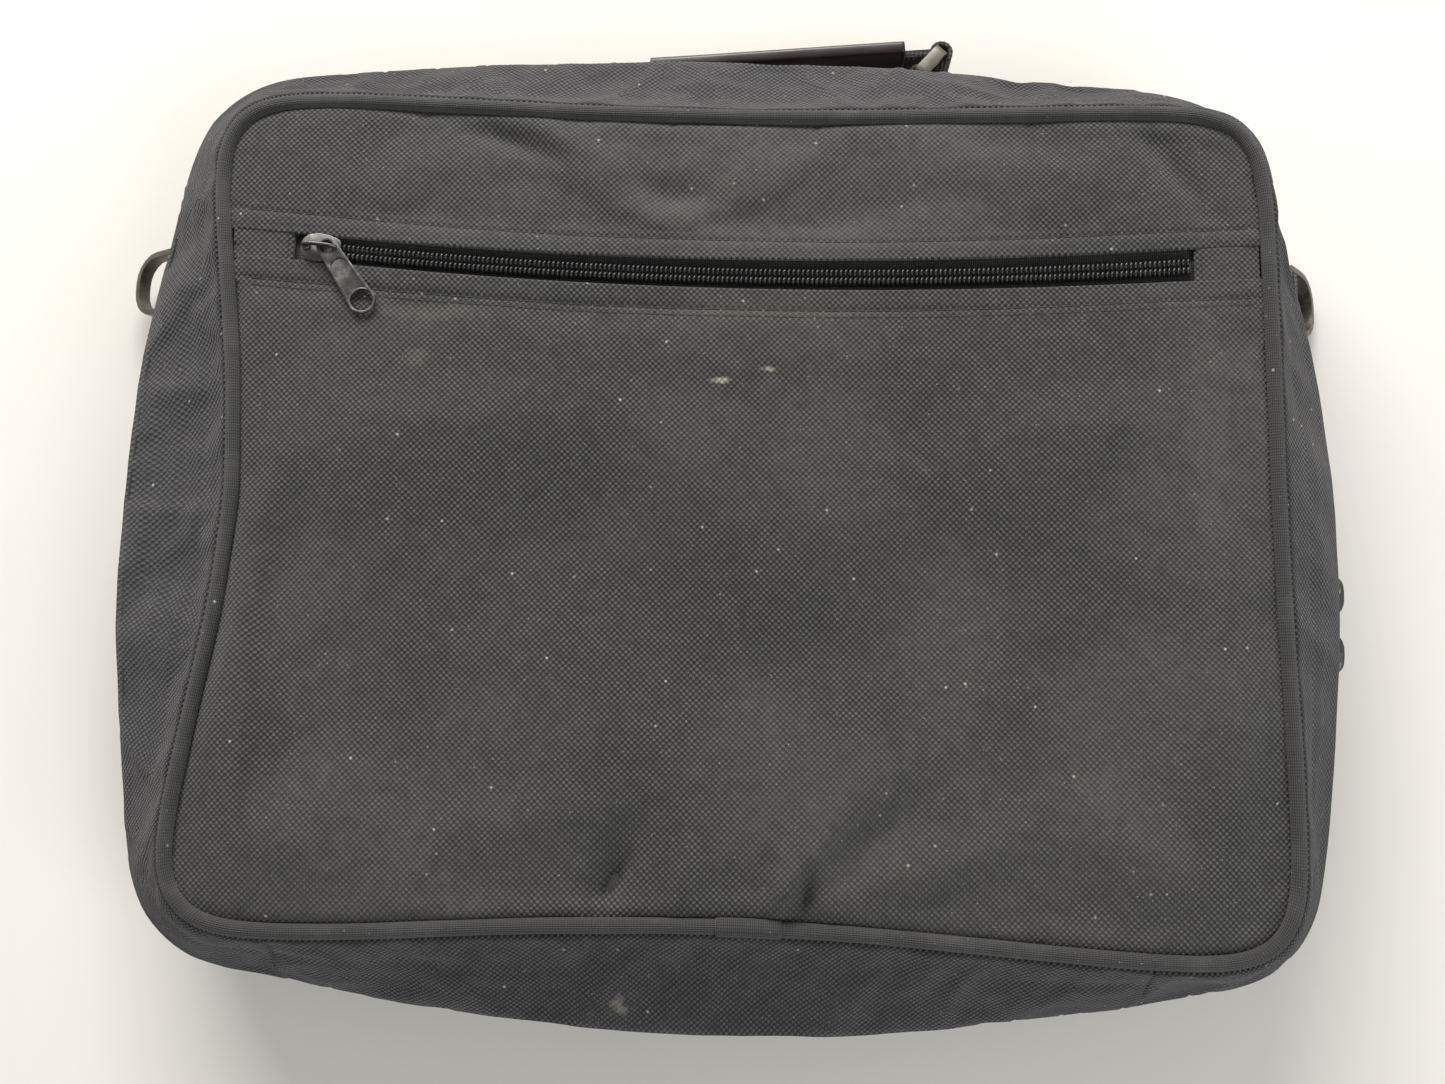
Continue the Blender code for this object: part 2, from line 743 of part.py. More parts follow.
def make_pocket_slider():
    x = POCKET_SLIDER_X
    y = zip_line_y(x)
    lowest_x, _ = POCKET_ZIP_LOWEST
    slope = -math.asin((lowest_x - x) / POCKET_ZIP_SAG_RADIUS)
    plate_low = CHAIN_TOP + GAP
    frame = placed("pocket_slider_frame", (x, y, plate_low), (0, 0, slope))
    hang(make_slider("pocket_slider", 0, POCKET_CHAIN_HEIGHT - 0.2 * MM, (-1, 1)), frame)
    swing = math.radians(POCKET_PULL_ANGLE) - slope
    pull_frame = placed("pocket_pull_frame", (post_place(), 0, 0), (0, 0, swing), frame)
    hang(make_pull("pocket_pull", SLIDER_PLATE + GAP), pull_frame)


def right_arc():
    """The centre and radius of the arch that the zip follows on the right side."""
    start, end = zip_corners["tr"], zip_corners["br"]
    along = (end - start) / np.linalg.norm(end - start)
    start, end = start + along * ZIP_CORNER_RADIUS, end - along * ZIP_CORNER_RADIUS
    half = np.linalg.norm(end - start) / 2
    bow = ZIP_BOWS["right"] * MM
    radius = (half**2 + bow**2) / (2 * bow)
    outward = np.array([-along[1], along[0]])
    return (start + end) / 2 + outward * (bow - radius), radius - MAIN_COIL_INSET


def make_main_sliders():
    """Two sliders that meet on the right side, tails apart, with their pulls hanging."""
    centre, radius = right_arc()
    for name, side in (("lower", -1), ("upper", 1)):
        y = MAIN_SLIDERS_MEET_Y + side * MAIN_SLIDER_SPACING / 2
        angle = math.asin((y - centre[1]) / radius)
        spot = centre + (radius + GAP) * np.array([math.cos(angle), math.sin(angle)])
        # The slider's plate faces out along +X, and its tail points along the chain.
        flip = 0 if name == "upper" else math.pi
        frame = placed(f"main_slider_{name}_frame", (*spot, ZIP_HEIGHT), (0, 0, angle))
        face = placed(
            f"main_slider_{name}_face", (0, 0, 0), (math.pi / 2, 0, math.pi / 2), frame
        )
        turned = placed(f"main_slider_{name}_turned", (0, 0, 0), (0, 0, flip), face)
        skirts = (-1,) if name == "upper" else (1,)
        hang(make_slider(f"main_slider_{name}", 0, 2.2 * MM, skirts), turned)
        pull_frame = placed(
            f"main_pull_{name}_frame", (post_place(), 0, 0), (0, 0, -math.pi / 2 + flip), turned
        )
        hang(make_pull(f"main_pull_{name}", SLIDER_PLATE + GAP), pull_frame)


# ---------------------------------------------------------------- rings and handle


def ring_outlines(width, reach, far_corner=RING_TIGHT_CORNER):
    """A flat-stock ring: width across its legs' length, legs a reach apart."""
    outlines = []
    for grow in (RING_STOCK / 2, -RING_STOCK / 2):
        half_x, half_y = reach / 2 + grow, width / 2 - RING_STOCK / 2 + grow
        outline = []
        for turn, (side_x, side_y) in enumerate(((1, 1), (-1, 1), (-1, -1), (1, -1))):
            corner = far_corner if side_x > 0 else RING_TIGHT_CORNER
            radius = min(half_x, half_y, corner + grow)
            centre = (side_x * (half_x - radius), side_y * (half_y - radius))
            outline += arc(centre, radius, turn * 90, turn * 90 + 90, 5)
        outlines.append(outline)
    return outlines[0], outlines[1][::-1]


def loop_outlines(centre, towards, length, clearance_radius):
    """A strap sewn back on itself round a ring's leg, with a straight tail."""
    outer = clearance_radius + STRAP_THICKNESS
    heading = math.degrees(math.atan2(towards[1], towards[0]))
    opening = math.degrees(math.asin(STRAP_THICKNESS / outer))
    outline = arc(centre, outer, heading + opening, heading + 360 - opening, 16)
    direction = np.array(towards) / np.linalg.norm(towards)
    sideways = np.array([-direction[1], direction[0]]) * STRAP_THICKNESS
    end = np.array(centre) + direction * length
    outline += [tuple(end - sideways), tuple(end + sideways)]
    hole = arc(centre, clearance_radius, 360, 30, 11)
    return outline, hole


def leg_clearance():
    """The smallest radius in which a ring's leg can turn, with some room."""
    return math.hypot(RING_STOCK / 2, RING_STOCK_WIDTH / 2) + LOOP_CLEARANCE


def make_handle():
    tilt = math.radians(HANDLE_TILT)
    along = np.array([math.cos(tilt), math.sin(tilt)])
    ring_angle = math.radians(HANDLE_RING_ANGLE)
    reach = HANDLE_RING_REACH * np.array([math.cos(ring_angle), math.sin(ring_angle)])
    top_edge = PANEL_HEIGHT / 2 + TOP_BULGE
    right = np.array([HANDLE_RIGHT_RING_X, top_edge + HANDLE_STANDOFF]) + reach
    left = right - along * HANDLE_LENGTH
    z = HANDLE_RING_HEIGHT
    loop = leg_clearance()
    for name, end in (("left", left), ("right", right)):
        pivot = end - reach
        frame = placed(f"handle_ring_{name}_frame", (*pivot, z), (0, 0, ring_angle))
        outer, inner = ring_outlines(HANDLE_RING_LENGTH, HANDLE_RING_REACH)
        ring = as_mesh(
            flat_piece(
                f"handle_ring_{name}", [outer, inner], 0, RING_STOCK_WIDTH, "nickel",
                ((HANDLE_RING_REACH / 2, 0, 0), (math.pi / 2, 0, 0)),
            )
        )
        hang(ring, frame)
        wall_y = top_wall_y(pivot[0], z + HANDLE_WEBBING / 2) + GAP
        tail = pivot[1] - wall_y
        outlines = loop_outlines(pivot, (0, -1), tail, loop)
        as_mesh(
            flat_piece(
                f"handle_tab_{name}", outlines, z - HANDLE_WEBBING / 2, HANDLE_WEBBING,
                "webbing_black",
            )
        )
    frame = placed("handle_frame", (*left, z), (0, 0, tilt))
    outer = loop + STRAP_THICKNESS
    opening = math.degrees(math.asin(STRAP_THICKNESS / outer))
    outline = arc((0.0, 0.0), outer, opening, 360 - opening, 14)
    outline += arc((HANDLE_LENGTH, 0.0), outer, 180 + opening, 540 - opening, 14)
    holes = [arc((x, 0.0), loop, 360, 30, 11) for x in (0.0, HANDLE_LENGTH)]
    strap = flat_piece(
        "handle_strap", [outline, *holes], -HANDLE_WEBBING / 2, HANDLE_WEBBING, "webbing_black"
    )
    hang(as_mesh(strap), frame)
    grip_end = HANDLE_LENGTH - GRIP_FROM_RIGHT
    middle = 0.5 * MM + GRIP_HEIGHT / 2 - z
    half = (GRIP_LENGTH / 2, GRIP_THICKNESS / 2 + STRAP_THICKNESS / 2, GRIP_HEIGHT / 2)
    centre = (grip_end - GRIP_LENGTH / 2, 0, middle)
    grip = box(
        "handle_grip", np.subtract(centre, half), np.add(centre, half), "vinyl_brown_black"
    )
    rounded(grip, 1.6 * MM, 2)
    slot = (GRIP_LENGTH, STRAP_THICKNESS + GAP, HANDLE_WEBBING / 2 + GAP)
    cutter = box(
        "grip_slot", np.subtract((centre[0], 0, 0), slot), np.add((centre[0], 0, 0), slot),
        "webbing_black", cutters,
    )
    cut(grip, cutter)
    hang(grip, frame)
    hang(cutter, frame)


def top_wall_y(x, z):
    """The outer face of the back gusset's top side at a place and height."""
    rows = np.array(wall_rows(back_seam, PIPING_RADIUS + GAP, -1, BACK_FULLNESS, 12))
    heights, ys = [], []
    for row in rows:
        top = row[row[:, 1] > 0.1]
        order = np.argsort(top[:, 0])
        heights.append(top[0, 2])
        ys.append(np.interp(x, top[order, 0], top[order, 1]))
    return float(np.interp(z, heights, ys))


def side_wall_x(side, y, z):
    """The outer face of the back gusset's left or right side."""
    rows = np.array(wall_rows(back_seam, PIPING_RADIUS + GAP, -1, BACK_FULLNESS, 12))
    heights, xs = [], []
    for row in rows:
        column = row[row[:, 0] * side > 0.1]
        column = column[np.abs(column[:, 1]) < PANEL_HEIGHT / 2 - 20 * MM]
        order = np.argsort(column[:, 1])
        heights.append(column[0, 2])
        xs.append(np.interp(y, column[order, 1], column[order, 0]))
    return float(np.interp(z, heights, xs))


def make_strap_rings():
    loop = leg_clearance()
    for name, side in (("left", -1), ("right", 1)):
        drop = math.radians(STRAP_RING_DROPS[name])
        wall = side_wall_x(side, STRAP_RING_Y, STRAP_RING_HEIGHT)
        pivot = (wall + side * STRAP_RING_STANDOFF, STRAP_RING_Y, STRAP_RING_HEIGHT)
        turn = (0, drop, 0) if side > 0 else (0, math.pi - drop, 0)
        frame = placed(f"strap_ring_{name}_frame", pivot, turn)
        outlines = ring_outlines(STRAP_RING_WIDTH, STRAP_RING_REACH, STRAP_RING_ROUND_CORNER)
        ring = as_mesh(
            flat_piece(
                f"strap_ring_{name}", outlines, 0, RING_STOCK_WIDTH, "nickel",
                ((STRAP_RING_REACH / 2, 0, 0), (0, 0, 0)),
            )
        )
        hang(ring, frame)
        clear = GUSSET_FABRIC / 2 + GAP
        towards = (-side, -STRAP_TAB_DROP)
        outlines = loop_outlines((0, 0), towards, STRAP_RING_STANDOFF - clear, loop)
        tab = flat_piece(
            f"strap_tab_{name}", outlines, 0, STRAP_TAB_WIDTH, "webbing_black",
            (pivot, (math.pi / 2, 0, 0)),
        )
        as_mesh(tab)


# ---------------------------------------------------------------- panels, pads and pockets


def plate(name, inset, low, thickness, material, seam=None):
    outline = outset(back_seam if seam is None else seam, -inset)
    return flat_piece(name, [outline], low, thickness, material)


def open_box(name, low, high, removed, thickness, material):
    """A box with some of its sides left open, whose walls go inwards."""
    item = box(name, low, high, material)
    shaped = bmesh.new()
    shaped.from_mesh(item.data)
    gone = [
        face
        for face in shaped.faces
        if any((face.normal - type(face.normal)(axis)).length < 0.1 for axis in removed)
    ]
    bmesh.ops.delete(shaped, geom=gone, context="FACES")
    shaped.to_mesh(item.data)
    shaped.free()
    return solidified(item, thickness)


def make_back_half():
    piping_z = PIPING_RADIUS + GAP
    cord("back_piping", at_height(back_seam, piping_z), PIPING_RADIUS, "piping_black", True)
    plate("back_panel", PIPING_RADIUS + GAP, 0, FABRIC, "woven_black")
    level = FABRIC + GAP
    for name, thickness, material, margin in (
        ("back_foam", FOAM, "foam_grey", INNER_MARGIN),
        ("back_board", BOARD, "board_black", INNER_MARGIN),
        ("back_lining", LINING, "lining_grey", INNER_MARGIN - 1 * MM),
    ):
        plate(name, margin, level, thickness, material)
        level += thickness + GAP
    make_walls("back", back_seam, piping_z, -1, BACK_FULLNESS)
    make_main_zip("back", -1)
    bottom = -PANEL_HEIGHT / 2 + INNER_MARGIN + 2 * MM
    half = SLEEVE_WIDTH / 2
    sleeve_top = level + SLEEVE_DEPTH + SLEEVE_WALL
    open_box(
        "laptop_sleeve", (-half, bottom, level), (half, SLEEVE_TOP, sleeve_top),
        ((0, 0, -1), (0, 1, 0)), SLEEVE_WALL, "lining_grey",
    )
    strap_low = SLEEVE_TOP + 3 * MM
    half = STRAP_WIDTH / 2
    strap = box(
        "sleeve_strap", (-half, strap_low, level),
        (half, strap_low + SLEEVE_STRAP_LENGTH, level + STRAP_THICKNESS), "webbing_black",
    )
    rounded(strap, 0.3 * MM, 1)


def make_front_half():
    cord(
        "front_piping", at_height(front_seam, FRONT_HEIGHT), PIPING_RADIUS, "piping_black", True
    )
    make_front_panel()
    make_pocket_zip()
    level = FRONT_HEIGHT - POCKET_DEPTH
    for name, thickness, material, margin in (
        ("pocket_lining", LINING, "lining_grey", INNER_MARGIN - 1 * MM),
        ("front_foam", FOAM, "foam_grey", INNER_MARGIN),
        ("front_lining", LINING, "lining_grey", INNER_MARGIN - 1 * MM),
    ):
        level -= thickness
        plate(name, margin, level, thickness, material, front_seam)
        level -= GAP
    make_walls("front", front_seam, FRONT_HEIGHT, 1, FRONT_FULLNESS)
    make_main_zip("front", 1)
    bottom = -PANEL_HEIGHT / 2 + 30 * MM
    half = ACCESSORY_WIDTH / 2
    open_box(
        "accessory_pocket", (-half, bottom, level - ACCESSORY_DEPTH),
        (half, bottom + ACCESSORY_HEIGHT, level),
        ((0, 0, 1), (0, 1, 0)), ACCESSORY_FABRIC, "lining_grey",
    )


clear_scene()
make_materials()
make_back_half()
make_front_half()
make_pocket_slider()
make_main_sliders()
make_handle()
make_strap_rings()
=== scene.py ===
"""The looks of the soft laptop case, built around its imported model.

Everything is in metres, in the model's frame: +X along the width, +Y towards the
carrying handle, +Z away from the floor. Shapes start from the model's own seams.
"""

import json
import math

import bmesh
import bpy
import numpy as np
from mathutils import Matrix, Vector, noise
from mathutils.bvhtree import BVHTree


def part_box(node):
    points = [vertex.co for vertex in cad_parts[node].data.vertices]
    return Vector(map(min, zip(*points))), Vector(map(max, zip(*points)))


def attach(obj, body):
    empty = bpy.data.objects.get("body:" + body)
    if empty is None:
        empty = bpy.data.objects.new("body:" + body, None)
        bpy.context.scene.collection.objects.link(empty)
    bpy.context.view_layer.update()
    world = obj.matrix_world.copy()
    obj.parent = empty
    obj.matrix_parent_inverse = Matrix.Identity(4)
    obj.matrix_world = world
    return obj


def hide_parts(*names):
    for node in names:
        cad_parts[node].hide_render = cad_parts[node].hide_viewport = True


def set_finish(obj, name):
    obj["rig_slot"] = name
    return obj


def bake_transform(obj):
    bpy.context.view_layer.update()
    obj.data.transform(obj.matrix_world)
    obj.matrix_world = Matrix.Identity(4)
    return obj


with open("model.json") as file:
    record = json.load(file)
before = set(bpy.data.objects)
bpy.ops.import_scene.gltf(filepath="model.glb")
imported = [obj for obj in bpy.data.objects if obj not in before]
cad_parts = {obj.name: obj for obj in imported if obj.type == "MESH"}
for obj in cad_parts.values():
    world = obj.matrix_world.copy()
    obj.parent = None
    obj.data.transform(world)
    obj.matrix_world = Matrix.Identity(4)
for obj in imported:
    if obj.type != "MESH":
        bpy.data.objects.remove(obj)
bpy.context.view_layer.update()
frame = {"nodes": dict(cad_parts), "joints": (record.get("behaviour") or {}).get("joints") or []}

MM = 0.001
GAP = 0.3 * MM
nodes = frame["nodes"]
joints = {joint["name"]: joint for joint in frame["joints"]}

# ---------------------------------------------------------------- reading the frame


def points_of(node):
    """A CAD node's own corner points, each once."""
    found = np.array([v.co for v in nodes[node].data.vertices], float)
    return np.unique(np.round(found, 6), axis=0)


def tree_of(*names):
    """A search tree over the faces of some CAD nodes."""
    corners, faces = [], []
    for name in names:
        mesh = nodes[name].data
        start = len(corners)
        corners += [v.co.copy() for v in mesh.vertices]
        faces += [[start + i for i in face.vertices] for face in mesh.polygons]
    return BVHTree.FromPolygons(corners, faces)


def stations(node):
    """The middles of a cord's rings of points, counter-clockwise from above."""
    loose = points_of(node)
    middles = []
    while len(loose):
        ring, size = np.linalg.norm(loose - loose[0], axis=1) < 2.6 * MM, 0
        while ring.sum() > size:
            size = ring.sum()
            apart = np.linalg.norm(loose[:, None] - loose[ring][None], axis=2)
            ring = apart.min(axis=1) < 2.6 * MM
        middles.append((loose[ring].min(axis=0) + loose[ring].max(axis=0)) / 2)
        loose = loose[~ring]
    middles = np.array(middles)
    out = middles[:, :2] - middles[:, :2].mean(axis=0)
    return middles[np.argsort(np.arctan2(out[:, 1], out[:, 0]))]


# ---------------------------------------------------------------- lines


def even(line, count, closed=False):
    """The line's points again, evenly spaced."""
    line = np.asarray(line, float)
    if closed:
        line = np.vstack([line, line[:1]])
    steps = np.linalg.norm(np.diff(line, axis=0), axis=1)
    reach = np.concatenate([[0], np.cumsum(steps)])
    at = np.linspace(0, reach[-1], count, endpoint=not closed)
    return np.column_stack([np.interp(at, reach, column) for column in line.T])


def softened(values, spread, closed=False):
    """Values smoothed along their first axis, over a spread counted in samples."""
    reach = max(1, int(3 * spread))
    weights = np.exp(-0.5 * (np.arange(-reach, reach + 1) / spread) ** 2)
    weights /= weights.sum()
    values = np.asarray(values, float)
    if closed:
        padded = np.concatenate([values[-reach:], values, values[:reach]])
    else:
        head = 2 * values[:1] - values[reach:0:-1]
        tail = 2 * values[-1:] - values[-2 : -reach - 2 : -1]
        padded = np.concatenate([head, values, tail])
    return sum(w * padded[i : i + len(values)] for i, w in enumerate(weights))


def directions(line, closed=False):
    """Unit vectors along a line, one for each point."""
    if closed:
        along = np.roll(line, -1, axis=0) - np.roll(line, 1, axis=0)
    else:
        along = np.gradient(line, axis=0)
    return along / np.linalg.norm(along, axis=1, keepdims=True)


def outward_of(line):
    """Level unit vectors out of a closed line that runs counter-clockwise."""
    along = directions(line[:, :2], closed=True)
    return np.column_stack([along[:, 1], -along[:, 0], np.zeros(len(line))])


def lengths_of(line):
    """How far along an open line each of its points is."""
    steps = np.linalg.norm(np.diff(line, axis=0), axis=1)
    return np.concatenate([[0], np.cumsum(steps)])


def rough(points, scale, seed):
    """Smooth noise from -1 to 1 at each point, at so many waves per metre."""
    shift = Vector((seed * 7.13, seed * 3.71, seed * 5.37))
    flat = np.reshape(points, (-1, 3))
    found = [noise.noise(Vector(p) * scale + shift) for p in flat]
    return np.array(found).reshape(np.shape(points)[:-1])


def bell(distance, width):
    """1 in the middle of a bump, falling away on both sides."""
    return np.exp(-((distance / width) ** 2))


# ---------------------------------------------------------------- making pieces


def mesh_piece(name, corners, faces, material, slot=None, smooth=True):
    """A piece from its corners and faces, with a material and a material slot."""
    mesh = bpy.data.meshes.new(name)
    mesh.from_pydata(np.asarray(corners).tolist(), [], [list(map(int, f)) for f in faces])
    piece = bpy.data.objects.new(name, mesh)
    bpy.context.scene.collection.objects.link(piece)
    mesh.materials.append(material)
    if smooth:
        mesh.shade_smooth()
    if slot:
        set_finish(piece, slot)
    return piece


def grid_faces(rows, columns, wrap_rows, wrap_columns):
    """The faces of a grid of points, counted row by row."""
    i = np.arange(rows if wrap_rows else rows - 1)[:, None]
    j = np.arange(columns if wrap_columns else columns - 1)[None, :]
    up, right = (i + 1) % rows, (j + 1) % columns
    corners = (i * columns + j, i * columns + right, up * columns + right, up * columns + j)
    return np.stack(np.broadcast_arrays(*corners), axis=-1).reshape(-1, 4)


def sheet_piece(name, rows, material, slot=None, wrap=(False, False), uv=None, flip=False):
    """A surface through rows of points, with cloth coordinates in metres.

    wrap says whether the last row joins the first, and the last column the first.
    """
    rows = np.asarray(rows, float)
    count, across = rows.shape[:2]
    faces = grid_faces(count, across, *wrap)
    piece = mesh_piece(name, rows.reshape(-1, 3), faces[:, ::-1] if flip else faces, material, slot)
    if uv is None:
        middle = rows[count // 2]
        u = lengths_of(np.vstack([middle, middle[:1]]))
        column = rows[:, across // 2]
        v = lengths_of(np.vstack([column, column[:1]]))
        uv = np.stack(np.meshgrid(u, v), axis=-1)
    i, j = np.divmod(np.arange(len(faces)), across if wrap[1] else across - 1)
    corners = np.stack([uv[i, j], uv[i, j + 1], uv[i + 1, j + 1], uv[i + 1, j]], axis=1)
    layer = piece.data.uv_layers.new(name="cloth")
    flat = (corners[:, ::-1] if flip else corners).reshape(-1)
    layer.data.foreach_set("uv", flat.astype(np.float32))
    return piece


def thickened(piece, thickness, offset=-1.0):
    """The piece given a thickness, on its back by default."""
    modifier = piece.modifiers.new("thickness", "SOLIDIFY")
    modifier.thickness = thickness
    modifier.offset = offset
    return piece


def bevelled(piece, width, segments=2):
    """The piece with its sharp edges rounded."""
    modifier = piece.modifiers.new("edges", "BEVEL")
    modifier.width = width
    modifier.segments = segments
    modifier.limit_method = "ANGLE"
    modifier.angle_limit = math.radians(35)
    return piece


def crosswise(line, closed=False, up=(0, 0, 1)):
    """Two unit vectors across a line at each point, the second nearest to up."""
    along = directions(line, closed)
    side = np.cross(along, np.broadcast_to(np.asarray(up, float), along.shape))
    side /= np.linalg.norm(side, axis=1, keepdims=True)
    return side, np.cross(side, along)


def swept(name, line, section, material, slot=None, closed=False, up=(0, 0, 1)):
    """A solid of one cross-section, given as (side, up) points, along a line."""
    side, lift = crosswise(line, closed, up)
    section = np.asarray(section, float)
    rows = (
        line[:, None]
        + side[:, None] * section[None, :, :1]
        + lift[:, None] * section[None, :, 1:]
    )
    piece = sheet_piece(name, rows, material, slot, (closed, True))
    if not closed:
        cap_ends(piece, len(line), len(section))
    return piece


def closed_by(piece, rings):
    """The piece with a flat face on each ring of corner numbers, and normals outwards."""
    shaped = bmesh.new()
    shaped.from_mesh(piece.data)
    shaped.verts.ensure_lookup_table()
    for ring in rings:
        shaped.faces.new([shaped.verts[i] for i in ring])
    bmesh.ops.recalc_face_normals(shaped, faces=shaped.faces)
    shaped.to_mesh(piece.data)
    shaped.free()


def cap_ends(piece, rows, across):
    """Flat faces on a piece's first and last rows."""
    last = (rows - 1) * across
    closed_by(piece, [range(across), range(last, last + across)])


def round_section(radius, sides=12, flat=1.0):
    """A circle, or a flattened one, as (side, up) points."""
    angles = np.linspace(0, 2 * math.pi, sides, endpoint=False)
    return np.column_stack([np.cos(angles) * radius, np.sin(angles) * radius * flat])


def slab_section(width, height, radius, steps=3):
    """A rectangle with round corners."""
    points = []
    for turn, (sx, sy) in enumerate(((1, 1), (-1, 1), (-1, -1), (1, -1))):
        for angle in np.radians(np.linspace(turn * 90, turn * 90 + 90, steps + 1)):
            points.append(
                (
                    sx * (width / 2 - radius) + radius * math.cos(angle),
                    sy * (height / 2 - radius) + radius * math.sin(angle),
                )
            )
    return np.array(points)


def flat_piece(name, outlines, thickness, edge, material, slot=None):
    """A flat plate with holes and softly rounded edges, on the XY plane."""
    curve = bpy.data.curves.new(name, "CURVE")
    curve.dimensions = "2D"
    curve.fill_mode = "BOTH"
    curve.extrude = thickness / 2 - edge
    curve.bevel_depth = edge
    curve.bevel_resolution = 2
    curve.offset = -edge
    for outline in outlines:
        spline = curve.splines.new("POLY")
        spline.points.add(len(outline) - 1)
        for point, (x, y) in zip(spline.points, outline):
            point.co = (x, y, 0, 1)
        spline.use_cyclic_u = True
    holder = bpy.data.objects.new(name, curve)
    bpy.context.scene.collection.objects.link(holder)
    bpy.context.view_layer.update()
    graph = bpy.context.evaluated_depsgraph_get()
    mesh = bpy.data.meshes.new_from_object(holder.evaluated_get(graph))
    bpy.data.objects.remove(holder, do_unlink=True)
    shaped = bmesh.new()
    shaped.from_mesh(mesh)
    bmesh.ops.remove_doubles(shaped, verts=shaped.verts, dist=1e-6)
    bmesh.ops.recalc_face_normals(shaped, faces=shaped.faces)
    shaped.to_mesh(mesh)
    shaped.free()
    piece = bpy.data.objects.new(name, mesh)
    bpy.context.scene.collection.objects.link(piece)
    mesh.materials.clear()
    mesh.materials.append(material)
    mesh.shade_smooth()
    mesh.set_sharp_from_angle(angle=math.radians(38))
    if slot:
        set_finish(piece, slot)
    return piece


def arc(centre, radius, start, end, steps):
    """Points along part of a circle, with angles in degrees."""
    angles = np.radians(np.linspace(start, end, steps + 1))
    return [(centre[0] + radius * math.cos(a), centre[1] + radius * math.sin(a)) for a in angles]


def joined(name, pieces):
    """Several pieces made into one, under the first one's material slot."""
    graph = bpy.context.evaluated_depsgraph_get()
    shaped = bmesh.new()
    materials = []
    for piece in pieces:
        mesh = bpy.data.meshes.new_from_object(piece.evaluated_get(graph))
        mesh.transform(piece.matrix_world)
        before = len(shaped.faces)
        shaped.from_mesh(mesh)
        shaped.faces.ensure_lookup_table()
        if mesh.materials[0] not in materials:
            materials.append(mesh.materials[0])
        for face in shaped.faces[before:]:
            face.material_index = materials.index(mesh.materials[0])
        bpy.data.meshes.remove(mesh)
    made = bpy.data.meshes.new(name)
    shaped.to_mesh(made)
    shaped.free()
    for material in materials:
        made.materials.append(material)
    whole = bpy.data.objects.new(name, made)
    bpy.context.scene.collection.objects.link(whole)
    if "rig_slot" in pieces[0]:
        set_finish(whole, pieces[0]["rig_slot"])
    for piece in pieces:
        bpy.data.objects.remove(piece, do_unlink=True)
    return whole


def copies(name, unit_corners, unit_faces, placings, material, slot=None):
    """Many copies of one small shape in one piece, each placed by a 4x4 matrix."""
    unit = np.asarray(unit_corners, float)
    placings = np.asarray(placings, float)
    corners = np.einsum("kij,nj->kni", placings[:, :3, :3], unit) + placings[:, None, :3, 3]
    steps = (np.arange(len(placings)) * len(unit))[:, None, None]
    faces = (np.asarray(unit_faces)[None] + steps).reshape(-1, len(unit_faces[0]))
    return mesh_piece(name, corners.reshape(-1, 3), faces, material, slot)


def placing(origin, x_axis, z_axis):
    """A matrix that puts a local shape at origin, its +X and +Z as given."""
    x_axis = np.asarray(x_axis, float) / np.linalg.norm(x_axis)
    z_axis = np.asarray(z_axis, float) - x_axis * (np.asarray(z_axis) @ x_axis)
    z_axis /= np.linalg.norm(z_axis)
    matrix = np.eye(4)
    matrix[:3, 0], matrix[:3, 1], matrix[:3, 2] = x_axis, np.cross(z_axis, x_axis), z_axis
    matrix[:3, 3] = origin
    return matrix


def placed(piece, matrix):
    """The piece moved by a 4x4 matrix."""
    piece.data.transform(Matrix(matrix.tolist()))
    return piece


def bead(length, radius, sides=6):
    """A short rod with tapered ends along X: its corners and faces."""
    shares = np.array([-0.5, -0.36, 0.36, 0.5])
    sizes = np.array([0.45, 1.0, 1.0, 0.45])
    ring = round_section(radius, sides)
    corners = [(s * length, y * k, z * k) for s, k in zip(shares, sizes) for y, z in ring]
    return corners, grid_faces(4, sides, False, True)


def stitched(name, line, up, pitch, length, radius, material, slot=None):
    """A row of stitches along a line, lying on the side that up points to."""
    reach = lengths_of(line)
    at = np.arange(pitch / 2, reach[-1], pitch)
    spots = np.column_stack([np.interp(at, reach, column) for column in line.T])
    along = np.column_stack([np.interp(at, reach, c) for c in directions(line).T])
    ups = np.broadcast_to(np.asarray(up, float), (len(line), 3))
    ups = np.column_stack([np.interp(at, reach, c) for c in ups.T])
    matrices = [placing(spot, a, u) for spot, a, u in zip(spots, along, ups)]
    corners, faces = bead(length, radius)
    return copies(name, corners, faces, matrices, material, slot)


# ---------------------------------------------------------------- materials


